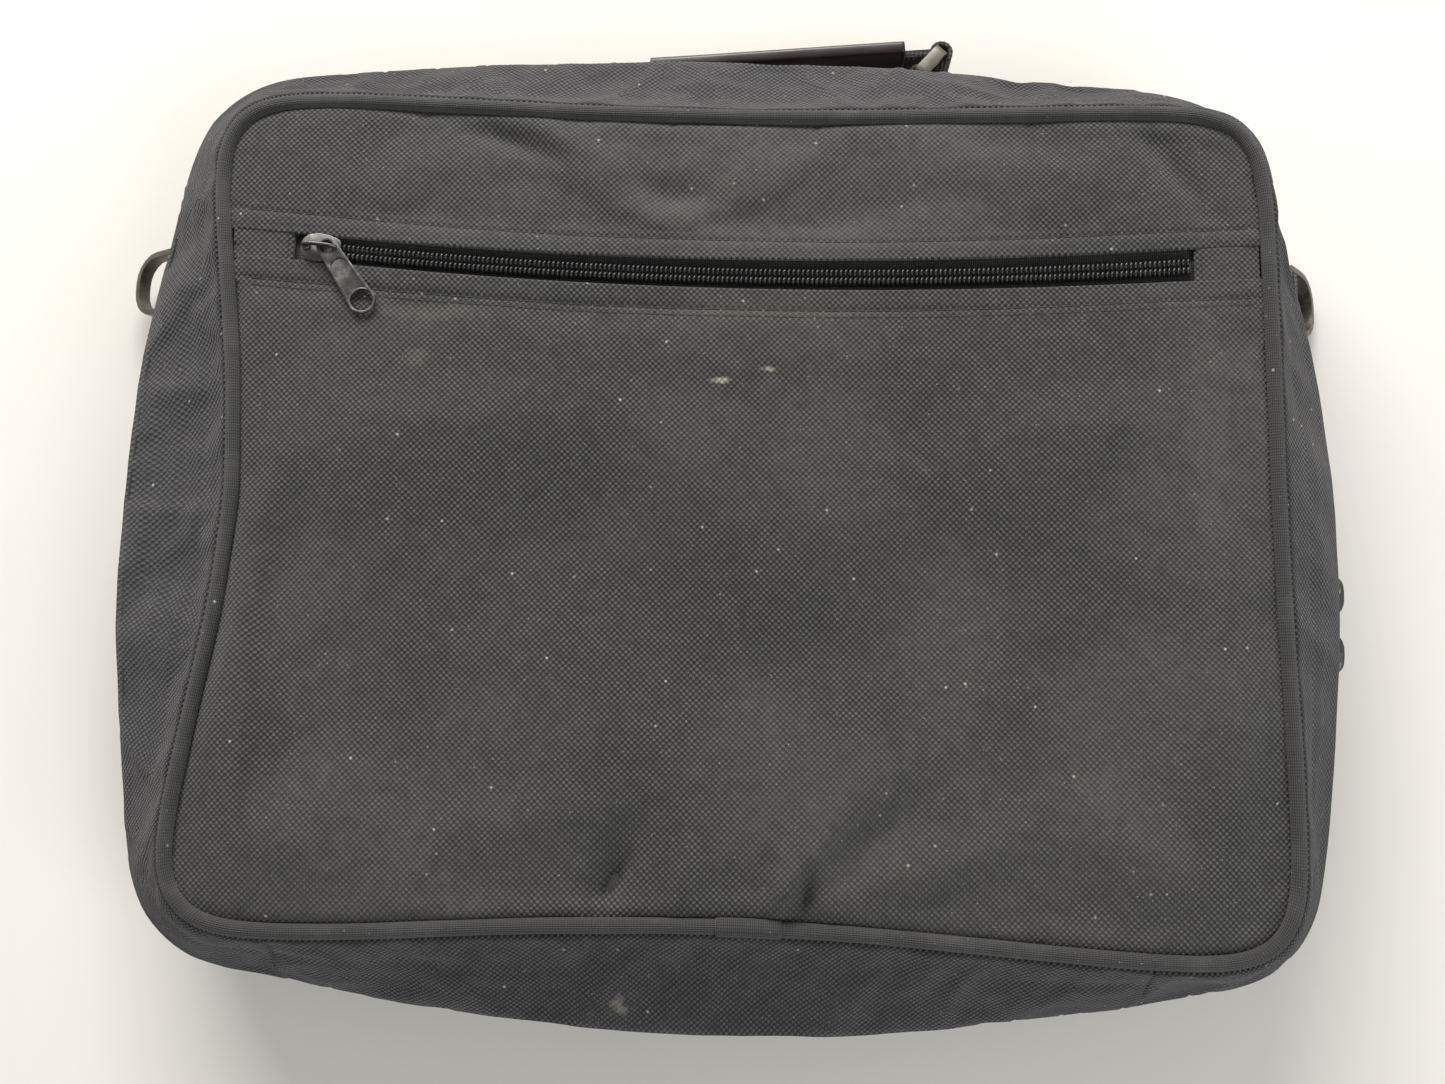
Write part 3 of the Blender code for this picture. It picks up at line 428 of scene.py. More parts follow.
class Paint:
    """One material, with short names for the nodes that it is built from."""

    def __init__(self, name, roughness, metallic=0.0, sheen=0.0):
        self.material = bpy.data.materials.new(name)
        self.material.use_nodes = True
        self.tree = self.material.node_tree
        self.shader = self.tree.nodes["Principled BSDF"]
        self.shader.inputs["Roughness"].default_value = roughness
        self.shader.inputs["Metallic"].default_value = metallic
        self.shader.inputs["Sheen Weight"].default_value = sheen
        self.shader.inputs["Sheen Roughness"].default_value = 0.6
        self.coordinates = self.tree.nodes.new("ShaderNodeTexCoord")

    def give(self, socket, value):
        if isinstance(value, bpy.types.NodeSocket):
            self.tree.links.new(value, socket)
        else:
            socket.default_value = value

    def add(self, kind, inputs, **settings):
        made = self.tree.nodes.new(kind)
        for key, value in settings.items():
            setattr(made, key, value)
        for key, value in inputs.items():
            self.give(made.inputs[key], value)
        return made

    def maths(self, operation, first, second=0.0, third=0.0):
        inputs = {0: first, 1: second, 2: third}
        return self.add("ShaderNodeMath", inputs, operation=operation).outputs[0]

    def spread(self, value, low, high, to_low=0.0, to_high=1.0):
        """The value's stretch from low to high, carried over to another stretch."""
        inputs = {"Value": value, "From Min": low, "From Max": high}
        inputs |= {"To Min": to_low, "To Max": to_high}
        return self.add("ShaderNodeMapRange", inputs).outputs[0]

    def mixed(self, share, first, second):
        made = self.tree.nodes.new("ShaderNodeMix")
        made.data_type = "RGBA"
        self.give(made.inputs[0], share)
        for socket, value in ((made.inputs[6], first), (made.inputs[7], second)):
            self.give(socket, (*value, 1) if isinstance(value, tuple) else value)
        return made.outputs[2]

    def cloud(self, scale, detail=2.0, where=None, stretch=None):
        """Noise from 0 to 1, in waves per metre of the object's own space."""
        vector = where or self.coordinates.outputs["Object"]
        if stretch:
            inputs = {"Vector": vector, "Scale": stretch}
            vector = self.add("ShaderNodeMapping", inputs).outputs[0]
        inputs = {"Vector": vector, "Scale": scale, "Detail": detail}
        return self.add("ShaderNodeTexNoise", inputs).outputs["Fac"]

    def cloth(self):
        """The cloth's own two coordinates, in metres."""
        inputs = {"Vector": self.coordinates.outputs["UV"]}
        made = self.add("ShaderNodeSeparateXYZ", inputs)
        return made.outputs[0], made.outputs[1]

    def wave(self, value, pitch, offset=0.0):
        """A sine along a length in metres, with so long a pitch."""
        turned = self.maths("MULTIPLY_ADD", value, 2 * math.pi / pitch, offset)
        return self.maths("SINE", turned)

    def bump(self, height, distance, strength=1.0, under=None):
        inputs = {"Height": height, "Distance": distance, "Strength": strength}
        if under:
            inputs["Normal"] = under
        return self.add("ShaderNodeBump", inputs).outputs[0]

    def done(self, colour, normal=None, roughness=None):
        self.give(self.shader.inputs["Base Color"], colour)
        if normal:
            self.give(self.shader.inputs["Normal"], normal)
        if roughness:
            self.give(self.shader.inputs["Roughness"], roughness)
        return self.material


# Specks of lint: cells per metre, a speck's size in its cell, the share of cells left
# bare, and how far the speck covers the cloth.
LINT = ((150, 0.085, 0.62, 0.85), (330, 0.085, 0.62, 0.6), (700, 0.12, 0.64, 0.4))


def lint(paint, colour):
    """Pale specks of lint and grit scattered over a colour."""
    for scale, size, share, strength in LINT:
        inputs = {"Vector": paint.coordinates.outputs["Object"], "Scale": scale}
        cells = paint.add("ShaderNodeTexVoronoi", inputs)
        near = paint.spread(cells.outputs["Distance"], size, size * 0.5)
        chosen = paint.spread(
            paint.maths("MULTIPLY", cells.outputs["Color"], 1.0), share, share + 0.02
        )
        here = paint.maths("MULTIPLY", near, chosen)
        colour = paint.mixed(paint.maths("MULTIPLY", here, strength), colour, (0.42, 0.41, 0.36))
    return colour


def pale_rubs_and_highlights(paint, colour, spots):
    """Pale marks, both rubbed spots and painted highlights: middle and half sizes of each in
    metres, and its strength.
    """
    for middle, size, strength in spots:
        scale = [1 / s for s in size]
        place = [-m * k for m, k in zip(middle, scale)]
        inputs = {"Vector": paint.coordinates.outputs["Object"], "Scale": scale, "Location": place}
        local = paint.add("ShaderNodeMapping", inputs).outputs[0]
        away = paint.add("ShaderNodeVectorMath", {0: local}, operation="LENGTH").outputs["Value"]
        worn = paint.maths("MULTIPLY_ADD", paint.cloud(500, 5.0), 1.6, away)
        here = paint.maths("MULTIPLY", paint.spread(worn, 1.75, 1.2), strength)
        # The pale colour of rubbed spots and of painted highlights.
        colour = paint.mixed(here, colour, (0.36, 0.34, 0.27))
    return colour


# Pale marks on the front panel: two small strong rubbed spots, faint pale patches, a long thin pale
# strip below the pocket zip, and two tall faint strips of painted highlight on the lit slopes
# beside the left and right piping.
PANEL_RUBS_AND_HIGHLIGHTS = (
    ((-4.1 * MM, 39.5 * MM, 0.062), (4.2 * MM, 1.3 * MM, 0.02), 0.8),
    ((10.9 * MM, 43.3 * MM, 0.062), (3.0 * MM, 1.2 * MM, 0.02), 0.7),
    ((-100 * MM, 45 * MM, 0.062), (5 * MM, 4 * MM, 0.02), 0.09),
    ((-95 * MM, 60 * MM, 0.062), (22 * MM, 4 * MM, 0.02), 0.06),
    ((5 * MM, 62 * MM, 0.062), (60 * MM, 3.5 * MM, 0.02), 0.06),
    ((120 * MM, -60 * MM, 0.062), (26 * MM, 40 * MM, 0.02), 0.025),
    # Painted highlights on the lit slopes beside the right and the left piping.
    ((147 * MM, 20 * MM, 0.062), (9 * MM, 60 * MM, 0.02), 0.03),
    ((-150 * MM, -70 * MM, 0.062), (7 * MM, 40 * MM, 0.02), 0.03),
)
GUSSET_SCUFFS = (((-31 * MM, -0.153, 0.05), (4 * MM, 5 * MM, 9 * MM), 0.35),)


def woven(name, dark, light, pitch=1.9 * MM, dust=0.5, tint=(0.088, 0.086, 0.075), spots=()):
    """Black basket-woven cloth, dusty, worn paler where it has been rubbed, and with the painted
    highlights listed in spots.
    """
    paint = Paint(name, 0.92, sheen=0.12)
    u, v = paint.cloth()
    wobble = paint.cloud(900, 1.0)
    threads_u = paint.wave(paint.maths("MULTIPLY_ADD", wobble, 0.22 * MM, u), pitch)
    threads_v = paint.wave(paint.maths("MULTIPLY_ADD", wobble, 0.22 * MM, v), pitch)
    weave = paint.maths("MULTIPLY", threads_u, threads_v)
    dots = paint.spread(weave, -0.25, 0.7)
    uneven = paint.cloud(260, 3.0)
    shade = paint.maths("MULTIPLY", dots, paint.spread(uneven, 0.25, 0.8, 0.45, 1.0))
    colour = paint.mixed(shade, dark, light)
    broad = paint.spread(paint.cloud(13, 5.0), 0.44, 0.66, 0.0, dust)
    fine = paint.spread(paint.cloud(240, 4.0), 0.3, 0.75, 0.35, 1.0)
    patchy = paint.maths("MULTIPLY", broad, fine)
    # Rubbed spots and painted highlights, from spots.
    colour = pale_rubs_and_highlights(paint, paint.mixed(patchy, colour, tint), spots)
    colour = lint(paint, colour)
    normal = paint.bump(weave, 0.22 * MM, 0.9)
    normal = paint.bump(paint.cloud(1400, 2.0), 0.06 * MM, 0.6, normal)
    return paint.done(colour, normal)


def ribbed(name, dark, light, pitch, across=0.9 * MM, depth=0.14 * MM, sheen=0.1):
    """A narrow woven tape or cover, with ribs across its length."""
    paint = Paint(name, 0.85, sheen=sheen)
    u, v = paint.cloth()
    ribs = paint.wave(u, pitch)
    threads = paint.wave(v, across, 0.7)
    relief = paint.maths("MULTIPLY_ADD", threads, 0.45, ribs)
    shade = paint.spread(relief, -1.2, 1.3)
    colour = paint.mixed(shade, dark, light)
    worn = paint.spread(paint.cloud(90, 4.0), 0.5, 0.75, 0.0, 0.35)
    colour = paint.mixed(worn, colour, (0.10, 0.098, 0.088))
    colour = lint(paint, colour)
    normal = paint.bump(relief, depth, 0.7)
    return paint.done(colour, normal)


def metal(name, colour, worn, rough_low, rough_high):
    """Plated metal, rubbed bright on its edges and pitted."""
    paint = Paint(name, rough_low, 1.0)
    blotches = paint.cloud(420, 5.0)
    fine = paint.cloud(2600, 3.0)
    edges = paint.add("ShaderNodeNewGeometry", {}).outputs["Pointiness"]
    spotted = paint.spread(blotches, 0.55, 0.75, 0, 0.7)
    rubbed = paint.maths("ADD", paint.spread(edges, 0.5, 0.58), spotted)
    shade = paint.mixed(paint.maths("MINIMUM", rubbed, 1.0), colour, worn)
    pits = paint.spread(fine, 0.3, 0.42, 1.0, 0.0)
    shade = paint.mixed(paint.maths("MULTIPLY", pits, 0.5), shade, (0.03, 0.028, 0.026))
    roughness = paint.spread(blotches, 0.3, 0.7, rough_low, rough_high)
    normal = paint.bump(fine, 0.03 * MM, 0.6)
    return paint.done(shade, normal, roughness)


def nylon(name):
    """The smooth black nylon of a zip chain, a little dusty."""
    paint = Paint(name, 0.28)
    dusty = paint.spread(paint.cloud(300, 4.0), 0.45, 0.75, 0.0, 0.3)
    colour = paint.mixed(dusty, (0.012, 0.012, 0.012), (0.07, 0.068, 0.062))
    roughness = paint.spread(paint.cloud(500, 3.0), 0.3, 0.7, 0.22, 0.45)
    return paint.done(colour, None, roughness)


def vinyl(name):
    """Glossy creased vinyl with a fine grain."""
    paint = Paint(name, 0.32)
    grain = paint.cloud(1800, 4.0)
    folds = paint.cloud(70, 3.0, stretch=(0.35, 1.0, 1.0))
    dusty = paint.spread(paint.cloud(60, 5.0), 0.48, 0.74, 0.0, 0.5)
    colour = paint.mixed(dusty, (0.022, 0.014, 0.013), (0.075, 0.062, 0.056))
    roughness = paint.spread(folds, 0.3, 0.7, 0.24, 0.46)
    normal = paint.bump(grain, 0.04 * MM, 0.6, paint.bump(folds, 0.8 * MM, 0.5))
    return paint.done(colour, normal, roughness)


def plain_cloth(name, dark, light, pitch=0.45 * MM):
    """Smooth lining cloth, with a fine even weave."""
    paint = Paint(name, 0.7, sheen=0.15)
    u, v = paint.cloth()
    weave = paint.maths("MULTIPLY", paint.wave(u, pitch), paint.wave(v, pitch))
    colour = paint.mixed(paint.spread(weave, -0.6, 0.8), dark, light)
    folds = paint.cloud(22, 3.0)
    normal = paint.bump(weave, 0.05 * MM, 0.5, paint.bump(folds, 2.0 * MM, 0.4))
    return paint.done(colour, normal)


def grainy(name, dark, light, scale, roughness, depth):
    """Foam or board: an even grain with no direction."""
    paint = Paint(name, roughness)
    grain = paint.cloud(scale, 3.0)
    colour = paint.mixed(paint.spread(grain, 0.3, 0.7), dark, light)
    return paint.done(colour, paint.bump(grain, depth, 0.6))


looks = {
    "panel": woven(
        "panel_cloth", (0.011, 0.011, 0.0105), (0.125, 0.122, 0.114), spots=PANEL_RUBS_AND_HIGHLIGHTS
    ),
    "gusset": woven(
        "gusset_cloth", (0.012, 0.0115, 0.013), (0.108, 0.104, 0.110),
        dust=0.22, tint=(0.075, 0.072, 0.071), spots=GUSSET_SCUFFS,
    ),
    "piping": ribbed("piping_cover", (0.012, 0.012, 0.012), (0.062, 0.061, 0.058), 0.62 * MM),
    "zip_tape": ribbed("zip_tape_cloth", (0.012, 0.012, 0.012), (0.05, 0.049, 0.047), 0.7 * MM),
    "webbing": ribbed(
        "webbing_weave", (0.010, 0.010, 0.010), (0.06, 0.058, 0.055), 1.5 * MM,
        across=1.6 * MM, depth=0.35 * MM,
    ),
    "thread": ribbed("thread", (0.012, 0.012, 0.012), (0.05, 0.05, 0.048), 0.4 * MM),
    "coil": nylon("coil_nylon"),
    "gunmetal": metal("worn_gunmetal", (0.075, 0.072, 0.07), (0.26, 0.25, 0.24), 0.34, 0.55),
    "ring": metal("dull_nickel", (0.14, 0.13, 0.11), (0.27, 0.25, 0.22), 0.38, 0.6),
    "vinyl": vinyl("grip_vinyl"),
    "lining": plain_cloth("lining_cloth", (0.03, 0.03, 0.032), (0.075, 0.075, 0.08)),
    "foam": grainy("foam", (0.1, 0.1, 0.105), (0.2, 0.2, 0.21), 1500, 0.95, 0.2 * MM),
    "board": grainy("board", (0.02, 0.02, 0.02), (0.05, 0.05, 0.05), 400, 0.6, 0.05 * MM),
}

# ---------------------------------------------------------------- the case's own lines

PIPING_RADIUS = 2.4 * MM
BOTTOM_COLUMNS, STRIP_COLUMNS = 150, 470
STRIP = slice(BOTTOM_COLUMNS - 1, None)
hinge = Vector(joints["lid_hinge"]["pos_m"])
zip_z = hinge.z


def seam_of(half):
    """The middle of a panel's piping, from the bottom gusset's left end and round."""
    line = softened(even(stations(f"{half}_piping"), 1200, True), 7, True)
    low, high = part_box(f"bottom_gusset_{half}")
    start, end = low.x + 1.5 * MM, high.x - 1.5 * MM
    below = line[:, 1] < 0
    first = np.argmin(np.where(below, abs(line[:, 0] - start), 1))
    line = np.roll(line, -first, axis=0)
    last = np.argmin(np.where(line[:, 1] < 0, abs(line[:, 0] - end), 1))
    bottom = even(line[: last + 1], BOTTOM_COLUMNS)
    strip = even(np.vstack([line[last:], line[:1]]), STRIP_COLUMNS + 1)
    return np.vstack([bottom, strip[1:-1]])


seams = {half: seam_of(half) for half in ("front", "back")}
outward = {half: outward_of(softened(seams[half], 5, True)) for half in seams}
facing = {"front": 1.0, "back": -1.0}


def zip_curve():
    """The pocket zip's centre line, as a parabola through its chain."""
    chain = points_of("pocket_zip_coil")
    return np.polyfit(chain[:, 0], chain[:, 1], 2)


zip_fit = zip_curve()
tab_left, tab_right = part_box("pocket_end_tab_left"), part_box("pocket_end_tab_right")
window_ends = (tab_left[1].x, tab_right[0].x)


def zip_y(x):
    """The pocket zip's centre line at a place across the case."""
    return np.polyval(zip_fit, x)


tab_points = points_of("pocket_end_tab_left")
WINDOW_HALF = abs(tab_points[:, 1] - zip_y(tab_points[:, 0])).max() + GAP
panel_tree = tree_of(
    "front_panel_lower", "front_panel_upper", "pocket_end_tab_left", "pocket_end_tab_right"
)
seam_z = float(seams["front"][:, 2].mean())


def panel_z(x, y):
    """The front panel's height at a place, with the zip's window bridged."""
    offset = y - zip_y(x)
    if abs(offset) < WINDOW_HALF + 0.5 * MM:
        y = zip_y(x) + math.copysign(WINDOW_HALF + 0.6 * MM, offset)
    hit = panel_tree.ray_cast(Vector((x, y, 0.1)), Vector((0, 0, -1)))[0]
    return hit.z if hit else math.nan


# ---------------------------------------------------------------- settling cloth


def settled(name, rows, wrap, pinned, pressure, growth, stiffness=12.0, frames=18, cap=3 * MM):
    """Rows of points after a short cloth simulation, held at the pinned points."""
    piece = sheet_piece(f"{name}_trial", rows, looks["panel"], wrap=wrap)
    group = piece.vertex_groups.new(name="held")
    group.add([int(i) for i in np.flatnonzero(pinned.reshape(-1))], 1.0, "REPLACE")
    modifier = piece.modifiers.new("cloth", "CLOTH")
    settings = modifier.settings
    settings.quality = 6
    settings.mass = 0.25
    settings.tension_stiffness = settings.compression_stiffness = stiffness
    settings.shear_stiffness = 4.0
    settings.bending_stiffness = 0.35
    settings.tension_damping = settings.compression_damping = 12.0
    settings.air_damping = 4.0
    settings.vertex_group_mass = "held"
    settings.shrink_min = -growth
    settings.use_pressure = True
    settings.uniform_pressure_force = pressure
    settings.effector_weights.gravity = 0.0
    modifier.collision_settings.use_collision = False
    scene = bpy.context.scene
    for number in range(1, frames + 1):
        scene.frame_set(number)
    graph = bpy.context.evaluated_depsgraph_get()
    mesh = piece.evaluated_get(graph).to_mesh()
    found = np.array([v.co for v in mesh.vertices], float).reshape(rows.shape)
    bpy.data.objects.remove(piece, do_unlink=True)
    scene.frame_set(1)
    move = found - rows
    size = np.linalg.norm(move, axis=-1, keepdims=True)
    return rows + move * np.minimum(1.0, cap / np.maximum(size, 1e-9))


# ---------------------------------------------------------------- side walls

WALL_ANGLES = 17
WALL_PADDING = 4.5 * MM
FOCUS_INSET = 6 * MM


def wall_grid(half):
    """The outer face of a half's wall all round: rows from its piping to the zip."""
    seam, out, towards = seams[half], outward[half], facing[half]
    tree = tree_of(f"{half}_gusset", f"bottom_gusset_{half}")
    low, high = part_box(f"{half}_gusset")
    lip_z = low.z if towards > 0 else high.z
    focus = seam - out * FOCUS_INSET
    focus[:, 2] = lip_z + towards * 0.15 * MM
    rise = abs(seam[0, 2] - focus[0, 2]) - 0.5 * MM
    steepest = math.atan2(rise, FOCUS_INSET + PIPING_RADIUS + 1.2 * MM)
    reach = 0.1
    found = np.full((WALL_ANGLES, len(seam)), math.nan)
    angles = np.linspace(steepest, 0, WALL_ANGLES)
    ways = out[None] * np.cos(angles)[:, None, None]
    ways = ways + np.array([0, 0, towards]) * np.sin(angles)[:, None, None]
    for i in range(WALL_ANGLES):
        for j in range(len(seam)):
            way = Vector(ways[i, j])
            hit = tree.ray_cast(Vector(focus[j]) + way * reach, -way, reach)[0]
            if hit:
                found[i, j] = (hit - Vector(focus[j])).length
    for row in found:
        good = np.flatnonzero(~np.isnan(row))
        if len(good):
            row[:] = np.interp(np.arange(len(row)), good, row[good], period=len(row))
    found = found[~np.isnan(found).any(axis=1)]
    ways = ways[-len(found):]
    found = softened(found.T, 5, True).T
    return focus[None] + ways * found[..., None], ways


def sliders_near(points):
    """1 beside the main zip's sliders and their run, where the wall stays smooth, else 0."""
    low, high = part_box("main_slider_lower")[0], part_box("main_slider_upper")[1]
    above = np.clip((points[..., 1] - (high.y + 70 * MM)) / (30 * MM), 0, 1)
    below = np.clip((low.y - 70 * MM - points[..., 1]) / (30 * MM), 0, 1)
    return (points[..., 0] > 0.12) * (1 - above) * (1 - below)


def wall_folds(points, half):
    """How far the slack wall stands in or out, from its piping to the zip."""
    count, across = points.shape[:2]
    along = lengths_of(points[count // 2])
    share = np.linspace(0, 1, count)[:, None]
    level = np.column_stack([along * 1.0, np.zeros(across), np.zeros(across)])
    seed = 3 if half == "front" else 8
    puckers = rough(level, 75, seed)[None] * bell(share, 0.3) * 0.8
    belly = np.sin(math.pi * np.clip(share, 0, 1)) ** 0.7
    broad = (rough(points, 17, seed + 1) * 3.4 - 1.9) * belly
    slant = np.stack([0.022 * share, 0.016 * share, 0 * share], axis=-1)
    slanted = level[None] + slant
    ridges = 1 - 2 * abs(rough(slanted, 38, seed + 2))
    folds = (ridges * 1.5 - 0.5) * np.sin(math.pi * share)
    sunk = np.clip(share / 0.3, 0, 1) * (1 - 0.65 * share**3)
    sides = 1.9 + 1.9 * np.clip((points[..., 1] - 0.1) / 0.03, 0, 1)
    sides = sides + 0.9 * np.clip((-points[..., 0] - 0.13) / 0.03, 0, 1)
    slack = sunk * sides if half == "front" else 0
    height = (puckers + broad + folds - slack) * MM
    ease = 1 - np.clip((share - 0.75) / 0.25, 0, 1) * (0.4 + 0.6 * sliders_near(points))
    return height * ease


def normals_of(rows, facing_out):
    """Unit normals of a grid of points, on the side that facing_out is on."""
    along = np.gradient(rows, axis=1)
    down = np.gradient(rows, axis=0)
    normal = np.cross(along, down)
    normal /= np.maximum(np.linalg.norm(normal, axis=2, keepdims=True), 1e-12)
    sign = np.sign((normal * facing_out).sum(axis=2, keepdims=True))
    return normal * sign


def hem_rows(lip, out, towards):
    """The wall's edge turned in to the zip's tape: a soft fold, then a step in."""
    rows = []
    for inset, drop in ((0.35, 0.25), (1.3, 0.3), (3.6, -0.1)):
        rows.append(lip - out * inset * MM - np.array([0, 0, towards]) * drop * MM)
    return rows


def wall_section(half):
    """All the rows of a padded wall, out over its outer face and back along its lining."""
    surface, ways = wall_grid(half)
    out = outward[half]
    towards = facing[half]
    lifted = surface + normals_of(surface, ways) * wall_folds(surface, half)[..., None]
    seam = seams[half]
    tuck = seam + out * (PIPING_RADIUS * 0.6) - np.array([0, 0, towards]) * 1.2 * MM
    rows = np.concatenate([tuck[None], lifted])
    pinned = np.zeros(rows.shape[:2], bool)
    pinned[[0, 1, -1]] = True
    pinned |= sliders_near(rows) > 0.5
    rows = settled(f"{half}_wall", rows, (False, True), pinned, 2.0, 0.012)
    hem = hem_rows(rows[-1], out, towards)
    inner = rows[1:] - ways * WALL_PADDING
    return rows, np.array(hem), inner[::-1]


def wall_piece(name, rows, lining_from, replaced):
    """A closed padded strip: cloth outside, lining inside, and cloth ends."""
    piece = sheet_piece(name, rows, looks["gusset"], "woven_fabric", (True, False))
    piece.data.materials.append(looks["lining"])
    across = rows.shape[1] - 1
    for face in piece.data.polygons:
        face.material_index = int(face.index // across >= lining_from)
    columns, total = rows.shape[1], rows.shape[0] * rows.shape[1]
    closed_by(piece, [range(column, total, columns) for column in (0, columns - 1)])
    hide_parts(*replaced)
    return piece


def make_walls():
    """The zipped side walls of both halves, and the bottom gusset that joins them."""
    parts = {half: wall_section(half) for half in seams}
    for half, (outer, hem, inner) in parts.items():
        loop = np.concatenate([outer, hem, inner])
        rows = np.concatenate([loop[:, STRIP], loop[:, :1]], axis=1)
        piece = wall_piece(
            f"{half}_wall", rows, len(outer) + len(hem) - 1,
            (f"{half}_gusset", f"{half}_gusset_padding"),
        )
        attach(piece, f"{half}_half")
    make_bottom_gusset(parts)


def make_bottom_gusset(parts):
    """The bottom gusset: one padded strip that folds between the two halves."""
    front, back = (parts[half][0][:, :BOTTOM_COLUMNS] for half in ("front", "back"))
    out = outward["front"][:BOTTOM_COLUMNS]
    top, low = front[-1], back[-1]
    middle = []
    for share in (0.12, 0.3, 0.5, 0.7, 0.88):
        row = top + (low - top) * share
        middle.append(row + out * math.sin(math.pi * share) * 0.9 * MM)
    outer = np.concatenate([front, middle, back[::-1]])
    inside = [parts[half][2][:, :BOTTOM_COLUMNS] for half in ("front", "back")]
    inner = np.concatenate([inside[1][::-1], inside[0]])
    rows = np.concatenate([outer, inner])
    piece = wall_piece(
        "bottom_gusset", rows, len(outer) - 1,
        (
            "bottom_gusset_front", "bottom_gusset_back",
            "bottom_gusset_front_padding", "bottom_gusset_back_padding",
        ),
    )
    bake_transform(piece)


make_walls()

# ---------------------------------------------------------------- front panel


def part_between(line, first, last):
    """The points of a closed line from one index to another, counter-clockwise."""
    if last < first:
        last += len(line)
    return line[np.arange(first, last + 1) % len(line)]


def patch(bottom, top, left, right, across, ups):
    """A surface between four lines: bottom and top run along +X, left and right up."""
    shares = np.linspace(0, 1, across)[None, :, None]
    ups = np.asarray(ups)[:, None, None]
    bottom, top = even(bottom, across)[None], even(top, across)[None]
    reach = lambda line: np.column_stack(
        [np.interp(ups[:, 0, 0], lengths_of(line) / lengths_of(line)[-1], c) for c in line.T]
    )[:, None]
    left, right = reach(left), reach(right)
    sides = left * (1 - shares) + right * shares
    levels = bottom * (1 - ups) + top * ups
    corners = (
        (bottom[:, :1] * (1 - shares) + bottom[:, -1:] * shares) * (1 - ups)
        + (top[:, :1] * (1 - shares) + top[:, -1:] * shares) * ups
    )
    return sides + levels - corners


# Folds and dents of the slack panel: middle x and y, half length, half width (all in
# millimetres), heading in degrees, height in millimetres.
PANEL_FOLDS = (
    (-44, 107, 26, 7, -38, 1.5), (-20, 100, 20, 6, -10, -1.3), (4, 103, 24, 6, 25, 1.1),
    (38, 96, 30, 7, 8, -0.9), (88, 108, 34, 9, -14, 0.9), (-110, 104, 36, 10, 10, 0.8),
    (-152, -60, 52, 11, 88, 1.9), (-128, -104, 30, 12, 40, 1.2), (-95, 20, 60, 26, 12, 1.3),
    (-30, -20, 70, 26, -38, -1.3), (60, -30, 60, 24, 30, -1.0), (105, 20, 60, 24, 65, 1.1),
    (-33, -112, 16, 6, 72, -1.6), (-12, -116, 13, 5, 80, 1.0), (22, -112, 20, 6, 62, 1.4),
    (42, -104, 24, 7, 40, -1.2), (66, -108, 26, 8, 20, 1.1), (150, -70, 46, 10, 90, 1.5),
    (128, -108, 26, 11, -45, 1.2), (-70, -100, 30, 9, 10, 0.7), (0, 52, 80, 8, 2, 0.8),
    (-118, 60, 20, 6, -25, 0.8), (118, 56, 26, 8, 20, 0.8), (24, -119, 7, 1.8, 82, -1.3),
    (18, -117, 9, 3, 75, 1.0), (31, -116, 12, 3.5, 100, 0.9), (-34, -117, 9, 2.2, 60, -0.9),
    (-70, 118, 22, 4, -20, -1.0), (140, 112, 20, 5, -55, -1.0), (-140, -30, 30, 7, 80, -0.9),
)


SAG = 1.5  # millimetres that the slack panel hangs below its fullest shape


def panel_folds(points):
    """How far the slack front panel stands up or hangs down at each point."""
    height = rough(points, 11, 31) * 1.8 + rough(points, 26, 32) * 1.0
    height = height + rough(points, 60, 33) * 0.3
    for x, y, length, width, heading, rise in PANEL_FOLDS:
        turn = math.radians(heading)
        dx, dy = points[..., 0] - x * MM, points[..., 1] - y * MM
        along = dx * math.cos(turn) + dy * math.sin(turn)
        across = dy * math.cos(turn) - dx * math.sin(turn)
        height = height + 2.3 * rise * bell(along, length * MM) * bell(across, width * MM)
    return (height - SAG) * MM


STITCH_FROM_FOLD = 6.2 * MM


def panel_rows(rows):
    """The panel's rows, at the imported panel's height, with folds and a sewn groove."""
    rows = rows.copy()
    heights = np.array([[panel_z(x, y) for x, y in row[:, :2]] for row in rows])
    seam_height = seam_z - 0.6 * MM
    heights = np.where(np.isnan(heights), seam_height, heights)
    from_fold = abs(rows[..., 1] - zip_y(rows[..., 0])) - WINDOW_HALF
    loop = seams["front"][:, :2]
    flat = rows[..., :2].reshape(-1, 2)
    from_seam = np.concatenate(
        [np.linalg.norm(part[:, None] - loop[None, ::2], axis=2).min(axis=1)
         for part in np.array_split(flat, 40)]
    ).reshape(from_fold.shape)
    calm = np.clip(from_seam / (10 * MM), 0, 1) * np.clip((from_fold + 1 * MM) / (12 * MM), 0.12, 1)
    deeper = 1 + 0.35 * np.clip((from_fold - 16 * MM) / (20 * MM), 0, 1)
    folds = panel_folds(rows) * calm * deeper
    level = rows * np.array([1, 0, 0])
    puckers = rough(level, 95, 35) * bell(from_fold - STITCH_FROM_FOLD, 5 * MM) * 0.16 * MM
    groove = bell(from_fold - STITCH_FROM_FOLD, 0.8 * MM) * 0.38 * MM
    groove = groove + bell(from_fold - 0.55 * STITCH_FROM_FOLD, 1.6 * MM) * -0.18 * MM
    rows[..., 2] = heights + folds + puckers - groove
    sunk = bell(from_seam, 3.4 * MM)
    rows[..., 2] = rows[..., 2] * (1 - sunk) + (seam_z - 1.0 * MM) * sunk
    return rows


def under_pull(rows):
    """Heights kept low enough beside the zip for the slider's pull to swing over."""
    near = 1 - np.clip((abs(rows[..., 1] - zip_y(rows[..., 0])) - 36 * MM) / (16 * MM), 0, 1)
    knee, room = 63.1 * MM, 0.75 * MM
    z = rows[..., 2]
    low = np.where(z > knee, knee + room * np.tanh((z - knee) / room), z)
    return z + (low - z) * near


def fold_edge(edge, side):
    """Rows that turn a panel's edge down and back under itself, beside the zip."""
    steps = ((0.35, -0.2), (0.5, -0.7), (0.3, -1.2), (-2.5, -1.5))
    return [edge + np.array([0, side * out, down]) * MM for out, down in steps]


PANEL_COLUMNS = 169


